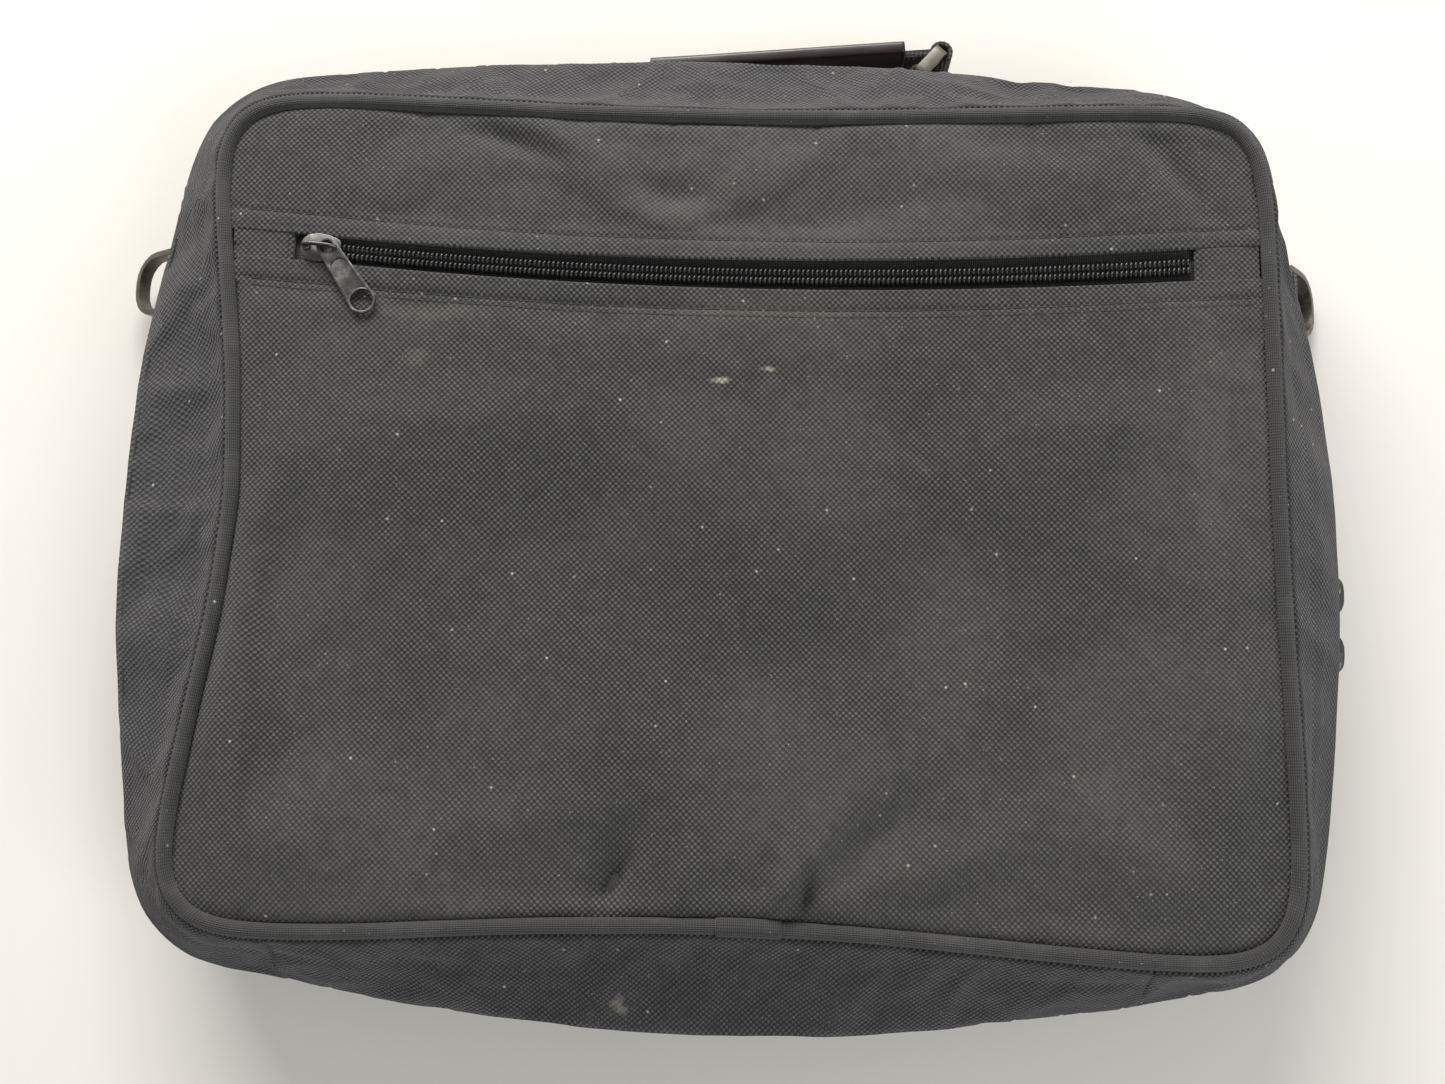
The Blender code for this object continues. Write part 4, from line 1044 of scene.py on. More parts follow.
def make_front_panels():
    """The lower and upper parts of the front panel, folded under along the zip."""
    loop = seams["front"] - outward["front"] * 0.8 * MM
    x, y = loop[:, 0], loop[:, 1]
    corner = {
        "bl": np.argmin(x + y), "br": np.argmax(x - y),
        "tr": np.argmax(x + y), "tl": np.argmin(x - y),
    }
    pieces = {}
    for name, side in (("lower", -1), ("upper", 1)):
        offset = y - (zip_y(x) + side * WINDOW_HALF)
        right = np.argmin(np.where(x > 0, abs(offset), 1))
        left = np.argmin(np.where(x < 0, abs(offset), 1))
        xs = np.linspace(loop[left, 0], loop[right, 0], PANEL_COLUMNS)
        level = np.full(PANEL_COLUMNS, seam_z)
        fold = np.column_stack([xs, zip_y(xs) + side * WINDOW_HALF, level])
        if side < 0:
            bottom = part_between(loop, corner["bl"], corner["br"])
            lines = (
                bottom, fold, part_between(loop, left, corner["bl"])[::-1],
                part_between(loop, corner["br"], right),
            )
            ups = np.concatenate([np.linspace(0, 0.952, 96)[:-1], np.linspace(0.952, 1, 21)])
        else:
            top = part_between(loop, corner["tr"], corner["tl"])[::-1]
            lines = (
                fold, top, part_between(loop, corner["tl"], left)[::-1],
                part_between(loop, right, corner["tr"]),
            )
            ups = np.concatenate([np.linspace(0, 0.19, 21), np.linspace(0.19, 1, 24)[1:]])
        rows = panel_rows(patch(*lines, PANEL_COLUMNS, ups))
        pinned = np.zeros(rows.shape[:2], bool)
        pinned[[0, -1]] = True
        pinned[:, [0, -1]] = True
        near = abs(rows[..., 1] - zip_y(rows[..., 0])) < WINDOW_HALF + 9 * MM
        pinned |= near
        rows = settled(f"panel_{name}", rows, (False, False), pinned, 1.0, 0.002, cap=1.5 * MM)
        rows[..., 2] = under_pull(rows)
        if side < 0:
            rows = np.concatenate([rows, fold_edge(rows[-1], 1)])
        else:
            rows = np.concatenate([fold_edge(rows[0], -1)[::-1], rows])
        uv = rows[..., :2].copy()
        piece = sheet_piece(
            f"front_panel_{name}_cloth", rows, looks["panel"], "woven_fabric", uv=uv
        )
        thickened(piece, 1.0 * MM)
        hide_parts(f"front_panel_{name}")
        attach(piece, "front_half")
        pieces[name] = rows
    return pieces


panel_surfaces = make_front_panels()
surface_points = np.concatenate([rows.reshape(-1, 3) for rows in panel_surfaces.values()])


def cloth_z(x, y):
    """The finished front panel's height near a place."""
    away = (surface_points[:, 0] - x) ** 2 + (surface_points[:, 1] - y) ** 2
    near = np.argsort(away)[:4]
    return float(np.median(surface_points[near, 2]))


def on_panel(xs, offset, lift):
    """A line on the front panel that keeps so far from the pocket zip's centre line."""
    ys = zip_y(xs) + offset
    zs = softened(np.array([cloth_z(x, y) for x, y in zip(xs, ys)]), 2)
    return np.column_stack([xs, ys, zs + lift])

# ---------------------------------------------------------------- piping


def make_piping(half):
    """The corded edge of a panel: a round cord, a little uneven along its seam."""
    line = seams[half].copy()
    level = np.column_stack([lengths_of(np.vstack([line, line[:1]]))[:-1], 0 * line[:, :2]])
    line[:, 2] += rough(line, 14, 51) * 0.35 * MM
    line[:, :2] += outward[half][:, :2] * (rough(line, 20, 52) * 0.4 * MM)[:, None]
    radius = PIPING_RADIUS * (1 + rough(level, 60, 53) * 0.035)
    angles = np.linspace(0, 2 * math.pi, 20, endpoint=False)
    rows = (
        line[:, None]
        + outward[half][:, None] * (np.cos(angles)[None, :, None] * radius[:, None, None])
        + np.array([0, 0, 1.0]) * (np.sin(angles)[None, :, None] * radius[:, None, None])
    )
    piece = sheet_piece(
        f"{half}_piping_cord", rows, looks["piping"], "piping", (True, True), flip=True
    )
    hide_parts(f"{half}_piping")
    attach(piece, f"{half}_half")
    return line


piping_lines = {half: make_piping(half) for half in seams}


def make_piping_join():
    """A patch of the cover lapped over the front piping's two ends."""
    line = piping_lines["front"][:BOTTOM_COLUMNS]
    chosen = line[(line[:, 0] > -1.8 * MM) & (line[:, 0] < 18.7 * MM)]
    short = even(chosen, 24)
    size = PIPING_RADIUS + 0.35 * MM
    swell = np.ones(24)
    swell[[0, -1]], swell[[1, -2]] = 0.93, 0.98
    angles = np.radians(np.linspace(-60, 240, 22))
    side, lift = crosswise(short)
    rows = np.array([
        short + (side * math.cos(a) + lift * math.sin(a)) * (size * swell)[:, None] for a in angles
    ])
    piece = sheet_piece("front_piping_join", rows, looks["piping"], "piping")
    thickened(piece, 0.4 * MM, 0.0)
    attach(piece, "front_half")


make_piping_join()

# ---------------------------------------------------------------- the pocket's zip

TOOTH_PITCH = 1.5 * MM


def tooth(width, length, height, sides=6):
    """One turn of a nylon coil: a rod bent over from one side to the other."""
    shares = np.linspace(-1, 1, 7)
    middles = np.column_stack([
        length * 0.16 * np.sin(shares * math.pi), shares * width / 2,
        height * (1 - abs(shares) ** 3.2) - height * 0.4,
    ])
    radius = length * 0.36
    corners = []
    for middle, share in zip(middles, shares):
        ring = round_section(radius * (0.75 if abs(share) == 1 else 1.0), sides)
        corners += [middle + np.array([x, 0, z]) for x, z in ring]
    return np.array(corners), grid_faces(len(shares), sides, False, True)


def chain(name, line, up, width, height, material, slot):
    """One side of a zip chain: a row of coil turns along a line."""
    reach = lengths_of(line)
    at = np.arange(TOOTH_PITCH / 2, reach[-1], TOOTH_PITCH)
    spots = np.column_stack([np.interp(at, reach, c) for c in line.T])
    along = np.column_stack([np.interp(at, reach, c) for c in directions(line).T])
    ups = np.broadcast_to(np.asarray(up, float), line.shape)
    ups = np.column_stack([np.interp(at, reach, c) for c in ups.T])
    corners, faces = tooth(width, TOOTH_PITCH, height)
    matrices = [placing(p, a, u) for p, a, u in zip(spots, along, ups)]
    return copies(name, corners, faces, matrices, material, slot)


slider_low, slider_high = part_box("pocket_slider")
chain_low, chain_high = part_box("pocket_zip_coil")
tape_low, tape_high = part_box("pocket_zip_tape")


def make_pocket_zip():
    """The front pocket's chain, its core, its tape and the stitches beside it."""
    xs = np.linspace(chain_low.x, chain_high.x, 120)
    middle = np.column_stack([xs, zip_y(xs), np.full(len(xs), chain_low.z + 1.05 * MM)])
    for name, side in (("upper", 1), ("lower", -1)):
        line = middle + np.array([0, side * 1.35 * MM, 0])
        piece = chain(
            f"pocket_chain_{name}", line, (0, 0, 1), 2.9 * MM, 1.5 * MM, looks["coil"], "coil"
        )
        if side > 0:
            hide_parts("pocket_zip_coil")
        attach(piece, "front_half")
    core = swept(
        "pocket_chain_core", middle - np.array([0, 0, 0.45 * MM]),
        slab_section(3.4 * MM, 0.7 * MM, 0.3 * MM), looks["thread"], "coil",
    )
    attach(core, "front_half")
    xs = np.linspace(tape_low.x, tape_high.x, 160)
    offsets = np.linspace(-13.6, 13.6, 40) * MM
    rows = []
    for offset in offsets:
        sag = rough(np.column_stack([xs, xs * 0 + offset, xs * 0]), 50, 61) * 0.12 * MM
        rows.append(np.column_stack([xs, zip_y(xs) + offset, tape_high.z - 0.05 * MM + sag]))
    tape = sheet_piece("pocket_tape_cloth", rows, looks["zip_tape"], "zip_tape")
    thickened(tape, 0.55 * MM)
    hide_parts("pocket_zip_tape")
    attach(tape, "front_half")
    for side in (-1, 1):
        line = np.column_stack([xs, zip_y(xs) + side * 3.6 * MM, np.full(len(xs), tape_high.z)])
        inside = (xs > window_ends[0] + 1 * MM) & (xs < window_ends[1] - 1 * MM)
        stitches = stitched(
            f"pocket_chain_stitches_{side}", line[inside], (0, 0, 1), 2.0 * MM, 1.5 * MM,
            0.14 * MM, looks["thread"], "zip_tape",
        )
        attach(stitches, "front_half")


def make_window_ends():
    """The cloth at the window's two ends, folded under, and the bar tacks there."""
    for side, name in ((-1, "left"), (1, "right")):
        low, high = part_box(f"pocket_end_tab_{name}")
        xs = np.linspace(low.x, high.x, 24)
        inner = xs[-1] if side < 0 else xs[0]
        rows = []
        for offset in np.linspace(-WINDOW_HALF - 0.3 * MM, WINDOW_HALF + 0.3 * MM, 15):
            from_end = abs(xs - inner)
            beside = math.copysign(WINDOW_HALF + 1.5 * MM, offset)
            z = np.array([cloth_z(x, zip_y(x) + beside) for x in xs])
            z = softened(z, 2) - 0.3 * MM - bell(from_end, 0.9 * MM) * 0.7 * MM
            rows.append(np.column_stack([xs, zip_y(xs) + offset, z]))
        uv = np.array(rows)[..., :2]
        piece = sheet_piece(
            f"pocket_window_end_{name}", rows, looks["panel"], "woven_fabric", uv=uv
        )
        thickened(piece, 0.9 * MM)
        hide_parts(f"pocket_end_tab_{name}")
        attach(piece, "front_half")
        x = inner + side * 2.2 * MM
        ys = np.linspace(-WINDOW_HALF * 0.8, WINDOW_HALF * 0.8, 12)
        top = max(row[:, 2].max() for row in rows)
        line = np.column_stack([ys * 0 + x, zip_y(x) + ys, ys * 0 + top + 0.05 * MM])
        tack = stitched(
            f"window_tack_{name}", line, (0, 0, 1), 1.9 * MM, 1.5 * MM, 0.17 * MM,
            looks["thread"], "woven_fabric",
        )
        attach(tack, "front_half")


def make_topstitching():
    """Two sewn lines beside the pocket's zip, from piping to piping."""
    for side in (-1, 1):
        for number, away in enumerate((0.0, 2.2 * MM) if side < 0 else (0.0,)):
            offset = side * (WINDOW_HALF + STITCH_FROM_FOLD + away)
            xs = np.linspace(-0.158, 0.163, 240)
            line = on_panel(xs, offset, -0.02 * MM)
            piece = stitched(
                f"topstitch_{side}_{number}", line, (0, 0, 1), 2.7 * MM, 2.1 * MM, 0.2 * MM,
                looks["thread"], "woven_fabric",
            )
            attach(piece, "front_half")


make_pocket_zip()
make_window_ends()
make_topstitching()

# ---------------------------------------------------------------- sliders and pulls

SLIDER_LENGTH, SLIDER_WIDTH = 13 * MM, 9.4 * MM
POST_FROM_MIDDLE = 3.4 * MM
POCKET_PLATE_Z = 62.8 * MM
POCKET_SLIDER_TURN, POCKET_PULL_TURN, HANDLE_TURN = -5.28, -55, 4.7  # degrees from +X


def slider_shape(name, plate_low, skirt_depth, skirts):
    """A zip slider: nose and tail plate, side skirts, and a riveted bail bar."""
    half = SLIDER_WIDTH / 2
    nose = arc((-SLIDER_LENGTH / 2 + half * 0.95, 0), half * 0.95, 112, 248, 16)
    outline = nose + [
        (-1.0 * MM, -half), (2.2 * MM, -half * 0.93), (5.2 * MM, -half * 0.72),
        (SLIDER_LENGTH / 2 - 0.5 * MM, -half * 0.62), (SLIDER_LENGTH / 2, -half * 0.45),
        (SLIDER_LENGTH / 2, half * 0.45), (SLIDER_LENGTH / 2 - 0.5 * MM, half * 0.62),
        (5.2 * MM, half * 0.72), (2.2 * MM, half * 0.93), (-1.0 * MM, half),
    ]
    plate = flat_piece(
        name + "_plate", [outline], 1.0 * MM, 0.3 * MM, looks["gunmetal"], "gunmetal"
    )
    placed(plate, placing((0, 0, plate_low + 0.5 * MM), (1, 0, 0), (0, 0, 1)))
    parts = [plate]
    for side in skirts:
        wall = swept(
            f"{name}_skirt_{side}",
            np.array([
                (-5.0 * MM, side * half * 0.8, plate_low - skirt_depth / 2 + 0.2 * MM),
                (-1.5 * MM, side * half * 0.9, plate_low - skirt_depth / 2 + 0.2 * MM),
                (5.6 * MM, side * half * 0.62, plate_low - skirt_depth / 2 + 0.2 * MM),
            ]),
            slab_section(0.8 * MM, skirt_depth, 0.3 * MM), looks["gunmetal"], "gunmetal",
        )
        parts.append(wall)
    top = plate_low + 1.0 * MM
    bar = [(-5.2, 0.0), (-5.0, 1.1), (-4.2, 2.0), (-2.2, 2.75), (1.2, 2.85), (3.6, 2.6),
           (4.9, 1.9), (5.2, 0.9), (5.2, 0.0)]
    line = softened(even(np.array([(x * MM, 0, top + z * MM) for x, z in bar]), 40), 1.2)
    bail = swept(
        name + "_bail", line, slab_section(2.1 * MM, 0.8 * MM, 0.3 * MM), looks["gunmetal"],
        "gunmetal", up=(0, 1, 0.01),
    )
    parts.append(bail)
    rivet = flat_piece(
        name + "_rivet", [arc((0, 0), 1.35 * MM, 0, 345, 23)], 0.7 * MM, 0.28 * MM,
        looks["gunmetal"], "gunmetal",
    )
    placed(rivet, placing((-4.6 * MM, 0, top + 0.5 * MM), (1, 0, 0), (0, 0, 1)))
    parts.append(rivet)
    return joined(name, parts)


def pull_shape(name, low, high):
    """A flat pull along +X from its eye: a raised rim, a sunk face and a round hole."""
    length, eye, hole = 29 * MM, 2.0 * MM, 3.5 * MM
    head, tail = 3.3 * MM, 4.5 * MM
    centre = length - 3.4 * MM - tail
    outline = (
        arc((centre, 0), tail, -78, 78, 18) + [(8.5 * MM, head * 1.08)]
        + arc((0.1 * MM, 0), head, 100, 260, 14) + [(8.5 * MM, -head * 1.08)]
    )
    holes = [arc((0, 0), eye, 360, 15, 23), arc((centre + 0.2 * MM, 0), hole, 360, 12, 29)]
    thickness = high - low
    base = flat_piece(
        name + "_base", [outline, *holes], thickness * 0.72, thickness * 0.2,
        looks["gunmetal"], "gunmetal",
    )
    placed(base, placing((0, 0, low + thickness * 0.36), (1, 0, 0), (0, 0, 1)))
    window = arc((7.6 * MM, 0), 2.6 * MM, 270, 90, 10) + [(centre - 3.6 * MM, 2.9 * MM)]
    window += arc((centre + 0.2 * MM, 0), hole + 0.55 * MM, 128, 232, 12) + [
        (centre - 3.6 * MM, -2.9 * MM)
    ]
    rim_hole = arc((centre + 0.2 * MM, 0), hole + 0.05 * MM, 360, 12, 29)
    rim_eye = arc((0, 0), eye + 0.05 * MM, 360, 15, 23)
    rim = flat_piece(
        name + "_rim", [outline, rim_eye, window[::-1], rim_hole], thickness * 0.5,
        thickness * 0.14, looks["gunmetal"], "gunmetal",
    )
    placed(rim, placing((0, 0, high - thickness * 0.25), (1, 0, 0), (0, 0, 1)))
    return joined(name, [base, rim])


def make_pocket_slider():
    """The front pocket's slider and its pull, in their places."""
    slope = math.radians(POCKET_SLIDER_TURN)
    run = np.array([math.cos(slope), math.sin(slope), 0])
    centre = ((slider_low.x + slider_high.x) / 2, (slider_low.y + slider_high.y) / 2, 0)
    slider = slider_shape("pocket_slider_metal", POCKET_PLATE_Z, 1.6 * MM, (-1, 1))
    placed(slider, placing(centre, run, (0, 0, 1)))
    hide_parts("pocket_slider")
    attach(slider, "pocket_slider")
    low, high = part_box("pocket_pull")
    pivot = Vector(joints["pocket_pull_swing"]["pos_m"])
    pull = pull_shape("pocket_pull_metal", low.z, high.z)
    turn = math.radians(POCKET_PULL_TURN)
    placed(pull, placing((pivot.x, pivot.y, 0), (math.cos(turn), math.sin(turn), 0), (0, 0, 1)))
    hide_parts("pocket_pull")
    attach(pull, "pocket_pull")


def make_main_sliders():
    frames = {
        "upper": ((0.01857, 0.99983, 0), (0.99983, -0.01857, 0), (-1,)),
        "lower": ((-0.05516, -0.99848, 0), (0.99848, -0.05516, 0), (1,)),
    }
    for name, (tail, plate, skirts) in frames.items():
        low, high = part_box(f"main_slider_{name}")
        middle_y = (low.y + high.y) / 2
        line = np.array(joints[f"main_pull_{name}_swing"]["pos_m"])
        origin = line - np.array(tail) * POST_FROM_MIDDLE
        origin[1] = middle_y
        origin[2] = zip_z
        points = points_of(f"main_slider_{name}") - origin
        inner = (points @ np.array(plate)).min()
        slider = slider_shape(f"main_slider_{name}_metal", inner + 2.2 * MM, 1.8 * MM, skirts)
        placed(slider, placing(origin, tail, plate))
        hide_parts(f"main_slider_{name}")
        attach(slider, f"main_slider_{name}")
        hung = points_of(f"main_pull_{name}") - line
        levels = hung @ np.array(plate)
        pull = pull_shape(f"main_pull_{name}_metal", levels.min(), levels.max())
        placed(pull, placing(line, (0, 0, -1), plate))
        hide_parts(f"main_pull_{name}")
        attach(pull, f"main_pull_{name}")


make_pocket_slider()
make_main_sliders()

# ---------------------------------------------------------------- the main zip


def middle_line(node, count):
    """The middle of a band that runs round three sides, from its right end to its left."""
    line = seams["front"][STRIP]
    out = outward["front"][STRIP]
    tree = tree_of(node)
    low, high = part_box(node)
    level = (low.z + high.z) / 2
    found = []
    for point, way in zip(line, out):
        start = Vector((point[0], point[1], level)) + Vector(way) * 0.06
        hit = tree.ray_cast(start, -Vector(way), 0.09)[0]
        if hit:
            found.append(hit)
    return even(np.array([tuple(p) for p in found]), count)


def make_main_zip():
    """Each half of the main zip: its chain and its tape."""
    for half in facing:
        edge = middle_line(f"main_zip_coil_{half}", 520)
        out = outward_of_open(edge)
        low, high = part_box(f"main_zip_coil_{half}")
        edge[:, 2] = (low.z + high.z) / 2
        piece = chain(
            f"main_chain_{half}", edge - out * 1.0 * MM, out, 1.75 * MM, 1.1 * MM,
            looks["coil"], "coil",
        )
        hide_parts(f"main_zip_coil_{half}")
        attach(piece, f"{half}_half")
        low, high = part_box(f"main_zip_tape_{half}")
        tape_edge = middle_line(f"main_zip_tape_{half}", 420)
        tape_out = outward_of_open(tape_edge)
        rows = []
        for z in np.linspace(low.z + 0.05 * MM, high.z - 0.05 * MM, 10):
            row = tape_edge.copy()
            row[:, 2] = z
            rows.append(row - tape_out * 0.05 * MM)
        tape = sheet_piece(f"main_tape_{half}", rows, looks["zip_tape"], "zip_tape")
        thickened(tape, 0.6 * MM, 1.0)
        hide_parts(f"main_zip_tape_{half}")
        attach(tape, f"{half}_half")


def outward_of_open(line):
    """Unit vectors out of the case along an open line that runs round it."""
    along = directions(line)
    out = np.column_stack([along[:, 1], -along[:, 0], np.zeros(len(line))])
    out /= np.linalg.norm(out, axis=1, keepdims=True)
    middle = np.array([line[:, 0].mean(), line[:, 1].mean(), 0])
    sign = np.sign(((line - middle) * out).sum())
    return softened(out * sign, 3)


make_main_zip()

# ---------------------------------------------------------------- carrying handle


def rounded_node(name, node, look, slot, width, segments, body):
    """A piece in the shape of a CAD node, with its edges softened."""
    corners = points_of(node)
    source = nodes[node].data
    index = {tuple(np.round(p, 6)): i for i, p in enumerate(corners)}
    number = [index[tuple(np.round(np.array(v.co, float), 6))] for v in source.vertices]
    faces = []
    for face in source.polygons:
        ring = [number[i] for i in face.vertices]
        if len(set(ring)) == len(ring):
            faces.append(ring)
    piece = mesh_piece(name, corners, faces, looks[look], slot)
    shaped = bmesh.new()
    shaped.from_mesh(piece.data)
    bmesh.ops.recalc_face_normals(shaped, faces=shaped.faces)
    bmesh.ops.dissolve_limit(
        shaped, angle_limit=math.radians(1), verts=shaped.verts, edges=shaped.edges
    )
    shaped.to_mesh(piece.data)
    shaped.free()
    give_cloth(piece)
    if width:
        bevelled(piece, width, segments)
    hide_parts(node)
    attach(piece, body)
    return piece


def give_cloth(piece):
    """Cloth coordinates in metres, from each face's own facing."""
    mesh = piece.data
    layer = mesh.uv_layers.new(name="cloth")
    for face in mesh.polygons:
        normal = face.normal
        size = [abs(normal.x), abs(normal.y), abs(normal.z)]
        flat = size.index(max(size))
        axes = {0: (1, 2), 1: (0, 2), 2: (0, 1)}[flat]
        for loop in face.loop_indices:
            corner = mesh.vertices[mesh.loops[loop].vertex_index].co
            layer.data[loop].uv = (corner[axes[0]], corner[axes[1]])


def make_handle():
    """The carrying handle with its webbing, loops, rings and stitched vinyl grip."""
    rounded_node("handle_strap_web", "handle_strap", "webbing", "webbing", 0.3 * MM, 2, "handle")
    for name in ("left", "right"):
        rounded_node(
            f"handle_tab_{name}_web", f"handle_tab_{name}", "webbing", "webbing",
            0.3 * MM, 2, "back_half",
        )
        rounded_node(
            f"handle_ring_{name}_metal", f"handle_ring_{name}", "ring", "ring_metal",
            0.55 * MM, 3, f"handle_ring_{name}",
        )
    low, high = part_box("handle_grip")
    tilt = math.radians(HANDLE_TURN)
    along = np.array([math.cos(tilt), math.sin(tilt), 0])
    across = np.array([-math.sin(tilt), math.cos(tilt), 0])
    points = points_of("handle_grip")
    run, side = points @ along, points @ across
    start, end = run.min(), run.max()
    middle_side = (side.min() + side.max()) / 2
    width = side.max() - side.min()
    height = high.z - low.z
    centre_z = (low.z + high.z) / 2
    shares = np.linspace(0, 1, 60)
    line = np.array([along * (start + (end - start) * s) + across * middle_side for s in shares])
    line[:, 2] = centre_z
    wave = rough(line, 26, 71) * 0.35 * MM
    line += across * wave[:, None]
    section = slab_section(width - 0.5 * MM, height - 0.4 * MM, 1.5 * MM, 4)
    grip = swept("handle_grip_vinyl", line, section, looks["vinyl"], "vinyl")
    bevelled(grip, 0.5 * MM, 2)
    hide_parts("handle_grip")
    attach(grip, "handle")
    for level in (low.z + 2.6 * MM, high.z - 2.6 * MM):
        for face in (-1, 1):
            row = line[2:-2] + across * face * (width / 2 - 0.25 * MM)
            row[:, 2] = level
            stitches = stitched(
                f"grip_stitches_{face}_{round(level / MM)}", row, across * face, 3.0 * MM,
                2.2 * MM, 0.2 * MM, looks["thread"], "vinyl",
            )
            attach(stitches, "handle")


def make_strap_rings():
    """The two D-rings for a shoulder strap and their sewn tabs."""
    for name in ("left", "right"):
        rounded_node(
            f"strap_ring_{name}_metal", f"strap_ring_{name}", "ring", "ring_metal",
            0.6 * MM, 3, f"strap_ring_{name}",
        )
        rounded_node(
            f"strap_tab_{name}_web", f"strap_tab_{name}", "webbing", "webbing",
            0.3 * MM, 2, "back_half",
        )


make_handle()
make_strap_rings()

# ---------------------------------------------------------------- back panel and inside


def inner_outline(half, inset, count=260):
    """The panel's seam moved in, for the pads and linings inside it."""
    line = seams[half] - outward[half] * inset
    return even(softened(line, 2, True), count, True)


def filled(line, z_of, rings=14):
    """Rows from a closed outline in to its middle, with heights from a rule."""
    centre = line[:, :2].mean(axis=0)
    rows = []
    for share in np.linspace(0, 0.995, rings) ** 0.9:
        flat = line[:, :2] + (centre - line[:, :2]) * share
        rows.append(np.column_stack([flat, z_of(flat)]))
    return np.array(rows)


def pad_piece(name, node, material, slot, body, soft, seed):
    """A pad, board or lining in its CAD node's place, softly swollen or creased."""
    low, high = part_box(node)
    half = body.split("_")[0]
    outline = fit_outline(node, half)
    thick = high.z - low.z
    inside = facing[half] > 0
    visible = low.z if inside else high.z
    sign = -1 if inside else 1

    def z_of(flat):
        swell = rough(np.column_stack([flat, flat[:, :1] * 0]), 18, seed)
        return visible + sign * (swell * soft - soft)

    rows = filled(outline, z_of)
    edge = outline + (outline.mean(axis=0) - outline) * -0.004
    first = rows[:1].copy()
    first[..., 2] = visible - sign * thick * 0.5
    first[0, :, :2] = edge[:, :2]
    base = rows[:1].copy()
    base[..., 2] = visible - sign * thick * 0.97
    rows = np.concatenate([base, first, rows])
    uv = np.concatenate([rows[..., :2], rows[:, :1, :2]], axis=1)
    piece = sheet_piece(name, rows, material, slot, (False, True), uv=uv, flip=not inside)
    cap_ends(piece, len(rows), rows.shape[1])
    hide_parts(node)
    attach(piece, body)
    return piece


def fit_outline(node, half):
    """A node's own outline, close enough: the seam scaled into the node's box."""
    line = inner_outline(half, 9 * MM)
    low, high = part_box(node)
    found_low, found_high = line.min(axis=0)[:2], line.max(axis=0)[:2]
    want_low, want_high = np.array([low.x, low.y]), np.array([high.x, high.y])
    share = (line[:, :2] - found_low) / (found_high - found_low)
    flat = want_low + share * (want_high - want_low)
    return np.column_stack([flat, np.zeros(len(flat))])


for node, kind, look, slot, soft, seed, fill in (
    ("back_panel", "cloth", "panel", "woven_fabric", 0.2, 81, None),
    ("back_foam", "pad", "foam", "padding", 0.2, 82, 1.0),
    ("back_board", "sheet", "board", "board", 0.0, 83, None),
    ("back_lining", "cloth", "lining", "lining", 0.1, 84, None),
    ("front_foam", "pad", "foam", "padding", 0.2, 85, 1.0),
    ("front_lining", "cloth", "lining", "lining", 0.1, 86, None),
    ("pocket_lining", "cloth", "lining", "lining", 0.1, 87, None),
):
    half = "back_half" if node.startswith("back") else "front_half"
    pad_piece(f"{node}_{kind}", node, looks[look], slot, half, soft * MM, seed)
rounded_node("laptop_sleeve_cloth", "laptop_sleeve", "lining", "lining", 1.4 * MM, 4, "back_half")
rounded_node(
    "accessory_pocket_cloth", "accessory_pocket", "lining", "lining", 0.3 * MM, 2, "front_half"
)
rounded_node("sleeve_strap_web", "sleeve_strap", "webbing", "webbing", 0.25 * MM, 2, "back_half")


def pocket_face(name, node, inside, body, puff, seed):
    """The soft face of an inner pocket, puffed and creased, with a bound mouth."""
    low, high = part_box(node)
    xs = np.linspace(low.x + 1.2 * MM, high.x - 1.2 * MM, 120)
    ys = np.linspace(low.y + 1.2 * MM, high.y - 0.6 * MM, 80)
    grid = np.stack(np.meshgrid(xs, ys), axis=-1)
    flat = np.concatenate([grid, np.zeros(grid.shape[:2] + (1,))], axis=2)
    face_z = high.z if inside > 0 else low.z
    from_edge = np.minimum.reduce([
        flat[..., 0] - low.x, high.x - flat[..., 0], flat[..., 1] - low.y,
    ])
    swell = 1 - np.exp(-from_edge / (9 * MM))
    creases = rough(flat, 16, seed) * 0.45 + rough(flat, 40, seed + 1) * 0.15
    flat[..., 2] = face_z + inside * (0.1 * MM + swell * puff * (0.75 + creases))
    piece = sheet_piece(name, flat, looks["lining"], "lining", uv=flat[..., :2], flip=inside < 0)
    thickened(piece, 0.5 * MM)
    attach(piece, body)
    line = flat[-1].copy()
    line[:, 2] -= inside * 0.2 * MM
    binding = swept(
        f"{name}_binding", line, slab_section(2.6 * MM, 1.5 * MM, 0.6 * MM), looks["webbing"],
        "webbing",
    )
    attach(binding, body)
    border = np.concatenate([
        flat[-6:3:-1, 4], flat[4, 4:-4], flat[4:-5, -5],
    ])
    border[:, 2] += inside * 0.12 * MM
    stitches = stitched(
        f"{name}_stitches", border, (0, 0, inside), 3.0 * MM, 2.2 * MM, 0.2 * MM,
        looks["thread"], "lining",
    )
    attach(stitches, body)


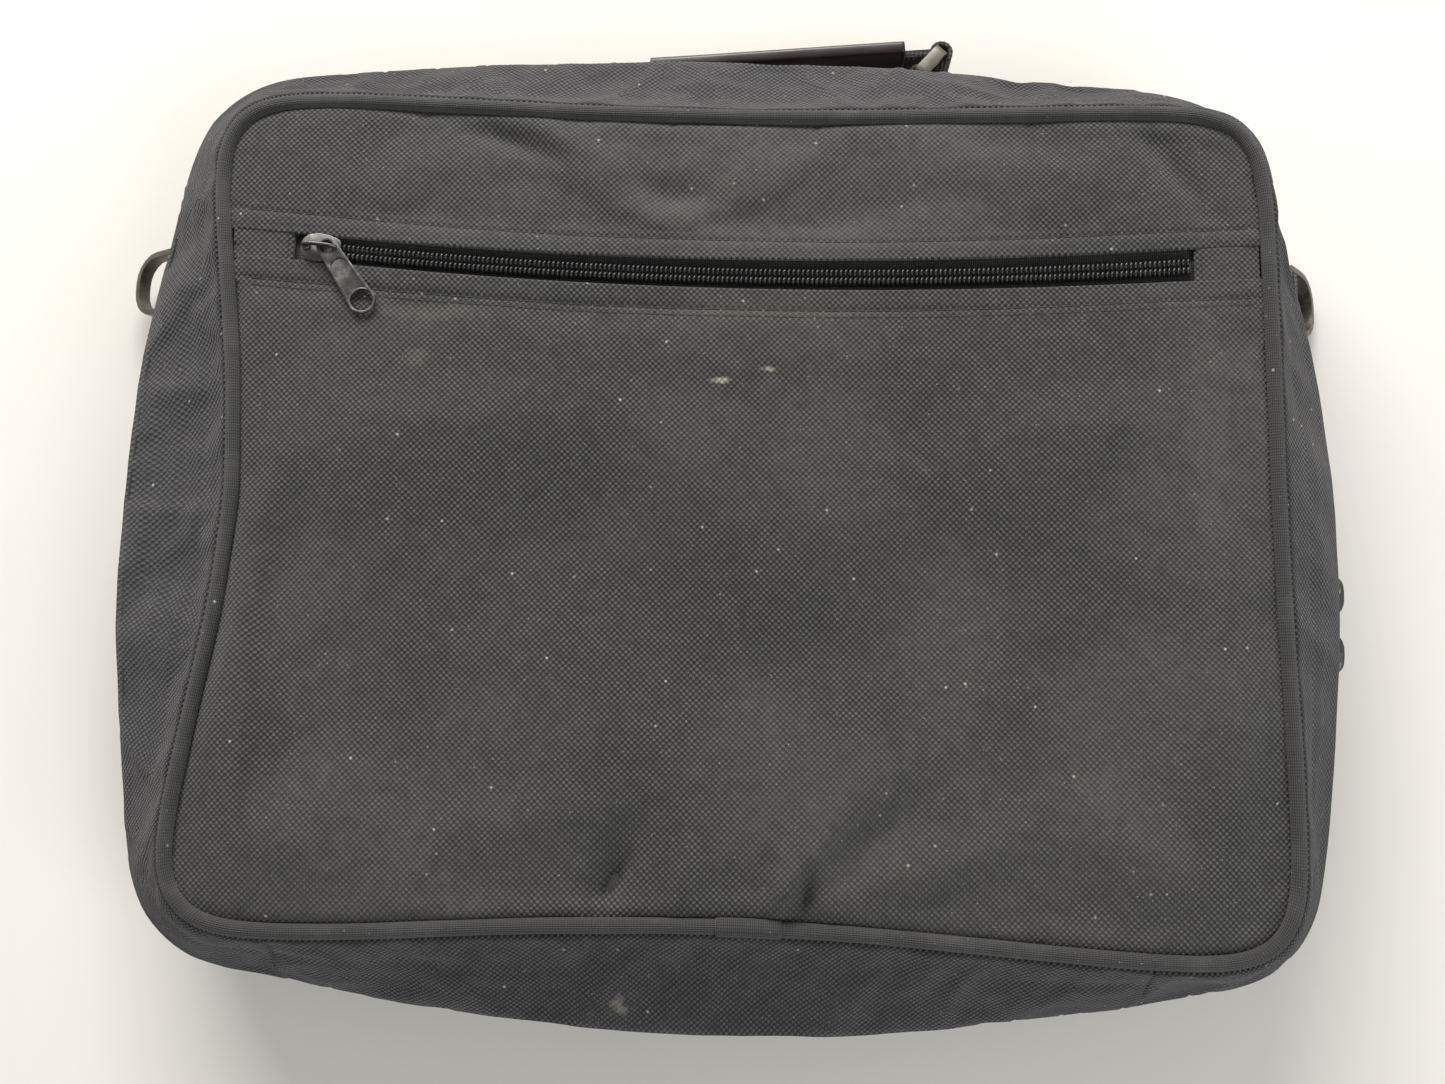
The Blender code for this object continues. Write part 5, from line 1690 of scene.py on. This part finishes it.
pocket_face("sleeve_face", "laptop_sleeve", 1, "back_half", 1.6 * MM, 91)
pocket_face("accessory_face", "accessory_pocket", -1, "front_half", 0.9 * MM, 93)

# ---------------------------------------------------------------- camera, floor and lights


def make_camera():
    """The view straight down on the case, a little from below its middle."""
    lens = bpy.data.cameras.new("camera")
    lens.lens = 37.37
    lens.clip_start = 0.01
    camera = bpy.data.objects.new("camera", lens)
    camera.location = (0.0087, -0.0879, 0.5174)
    camera.rotation_euler = [math.radians(a) for a in (9.52, 1.15, 1.32)]
    bpy.context.scene.collection.objects.link(camera)
    bpy.context.scene.camera = camera


def make_light(name, place, target, size, watts, colour):
    """A rectangular lamp aimed at a target."""
    lamp = bpy.data.lights.new(name, "AREA")
    lamp.shape = "RECTANGLE"
    lamp.size, lamp.size_y = size
    lamp.energy = watts
    lamp.color = colour
    light = bpy.data.objects.new(name, lamp)
    light.location = place
    light.rotation_euler = (Vector(target) - Vector(place)).to_track_quat("-Z", "Y").to_euler()
    bpy.context.scene.collection.objects.link(light)
    return light


def make_studio():
    """A pale paper floor, a soft sky and two large lamps."""
    paper = Paint("paper", 0.85)
    colour = paper.mixed(paper.cloud(9, 2.0), (0.80, 0.775, 0.72), (0.84, 0.815, 0.765))
    material = paper.done(colour, paper.bump(paper.cloud(420, 2.0), 0.03 * MM, 0.4))
    corners = [(x, y, -0.1 * MM) for x, y in ((-6, -6), (6, -6), (6, 6), (-6, 6))]
    floor = mesh_piece("floor", corners, [(0, 1, 2, 3)], material, smooth=False)
    world = bpy.data.worlds.new("world")
    world.use_nodes = True
    world.node_tree.nodes["Background"].inputs["Color"].default_value = (1.0, 0.985, 0.96, 1)
    world.node_tree.nodes["Background"].inputs["Strength"].default_value = 0.32
    bpy.context.scene.world = world
    lights = [
        make_light("key", (-0.35, 1.35, 0.85), (0, 0, 0), (1.4, 0.6), 40, (1.0, 0.985, 0.96)),
        make_light("fill", (0.9, -0.9, 0.9), (0, 0, 0), (1.2, 1.2), 13, (0.96, 0.98, 1.0)),
    ]
    bpy.context.scene.view_settings.view_transform = "Standard"


make_camera()
make_studio()
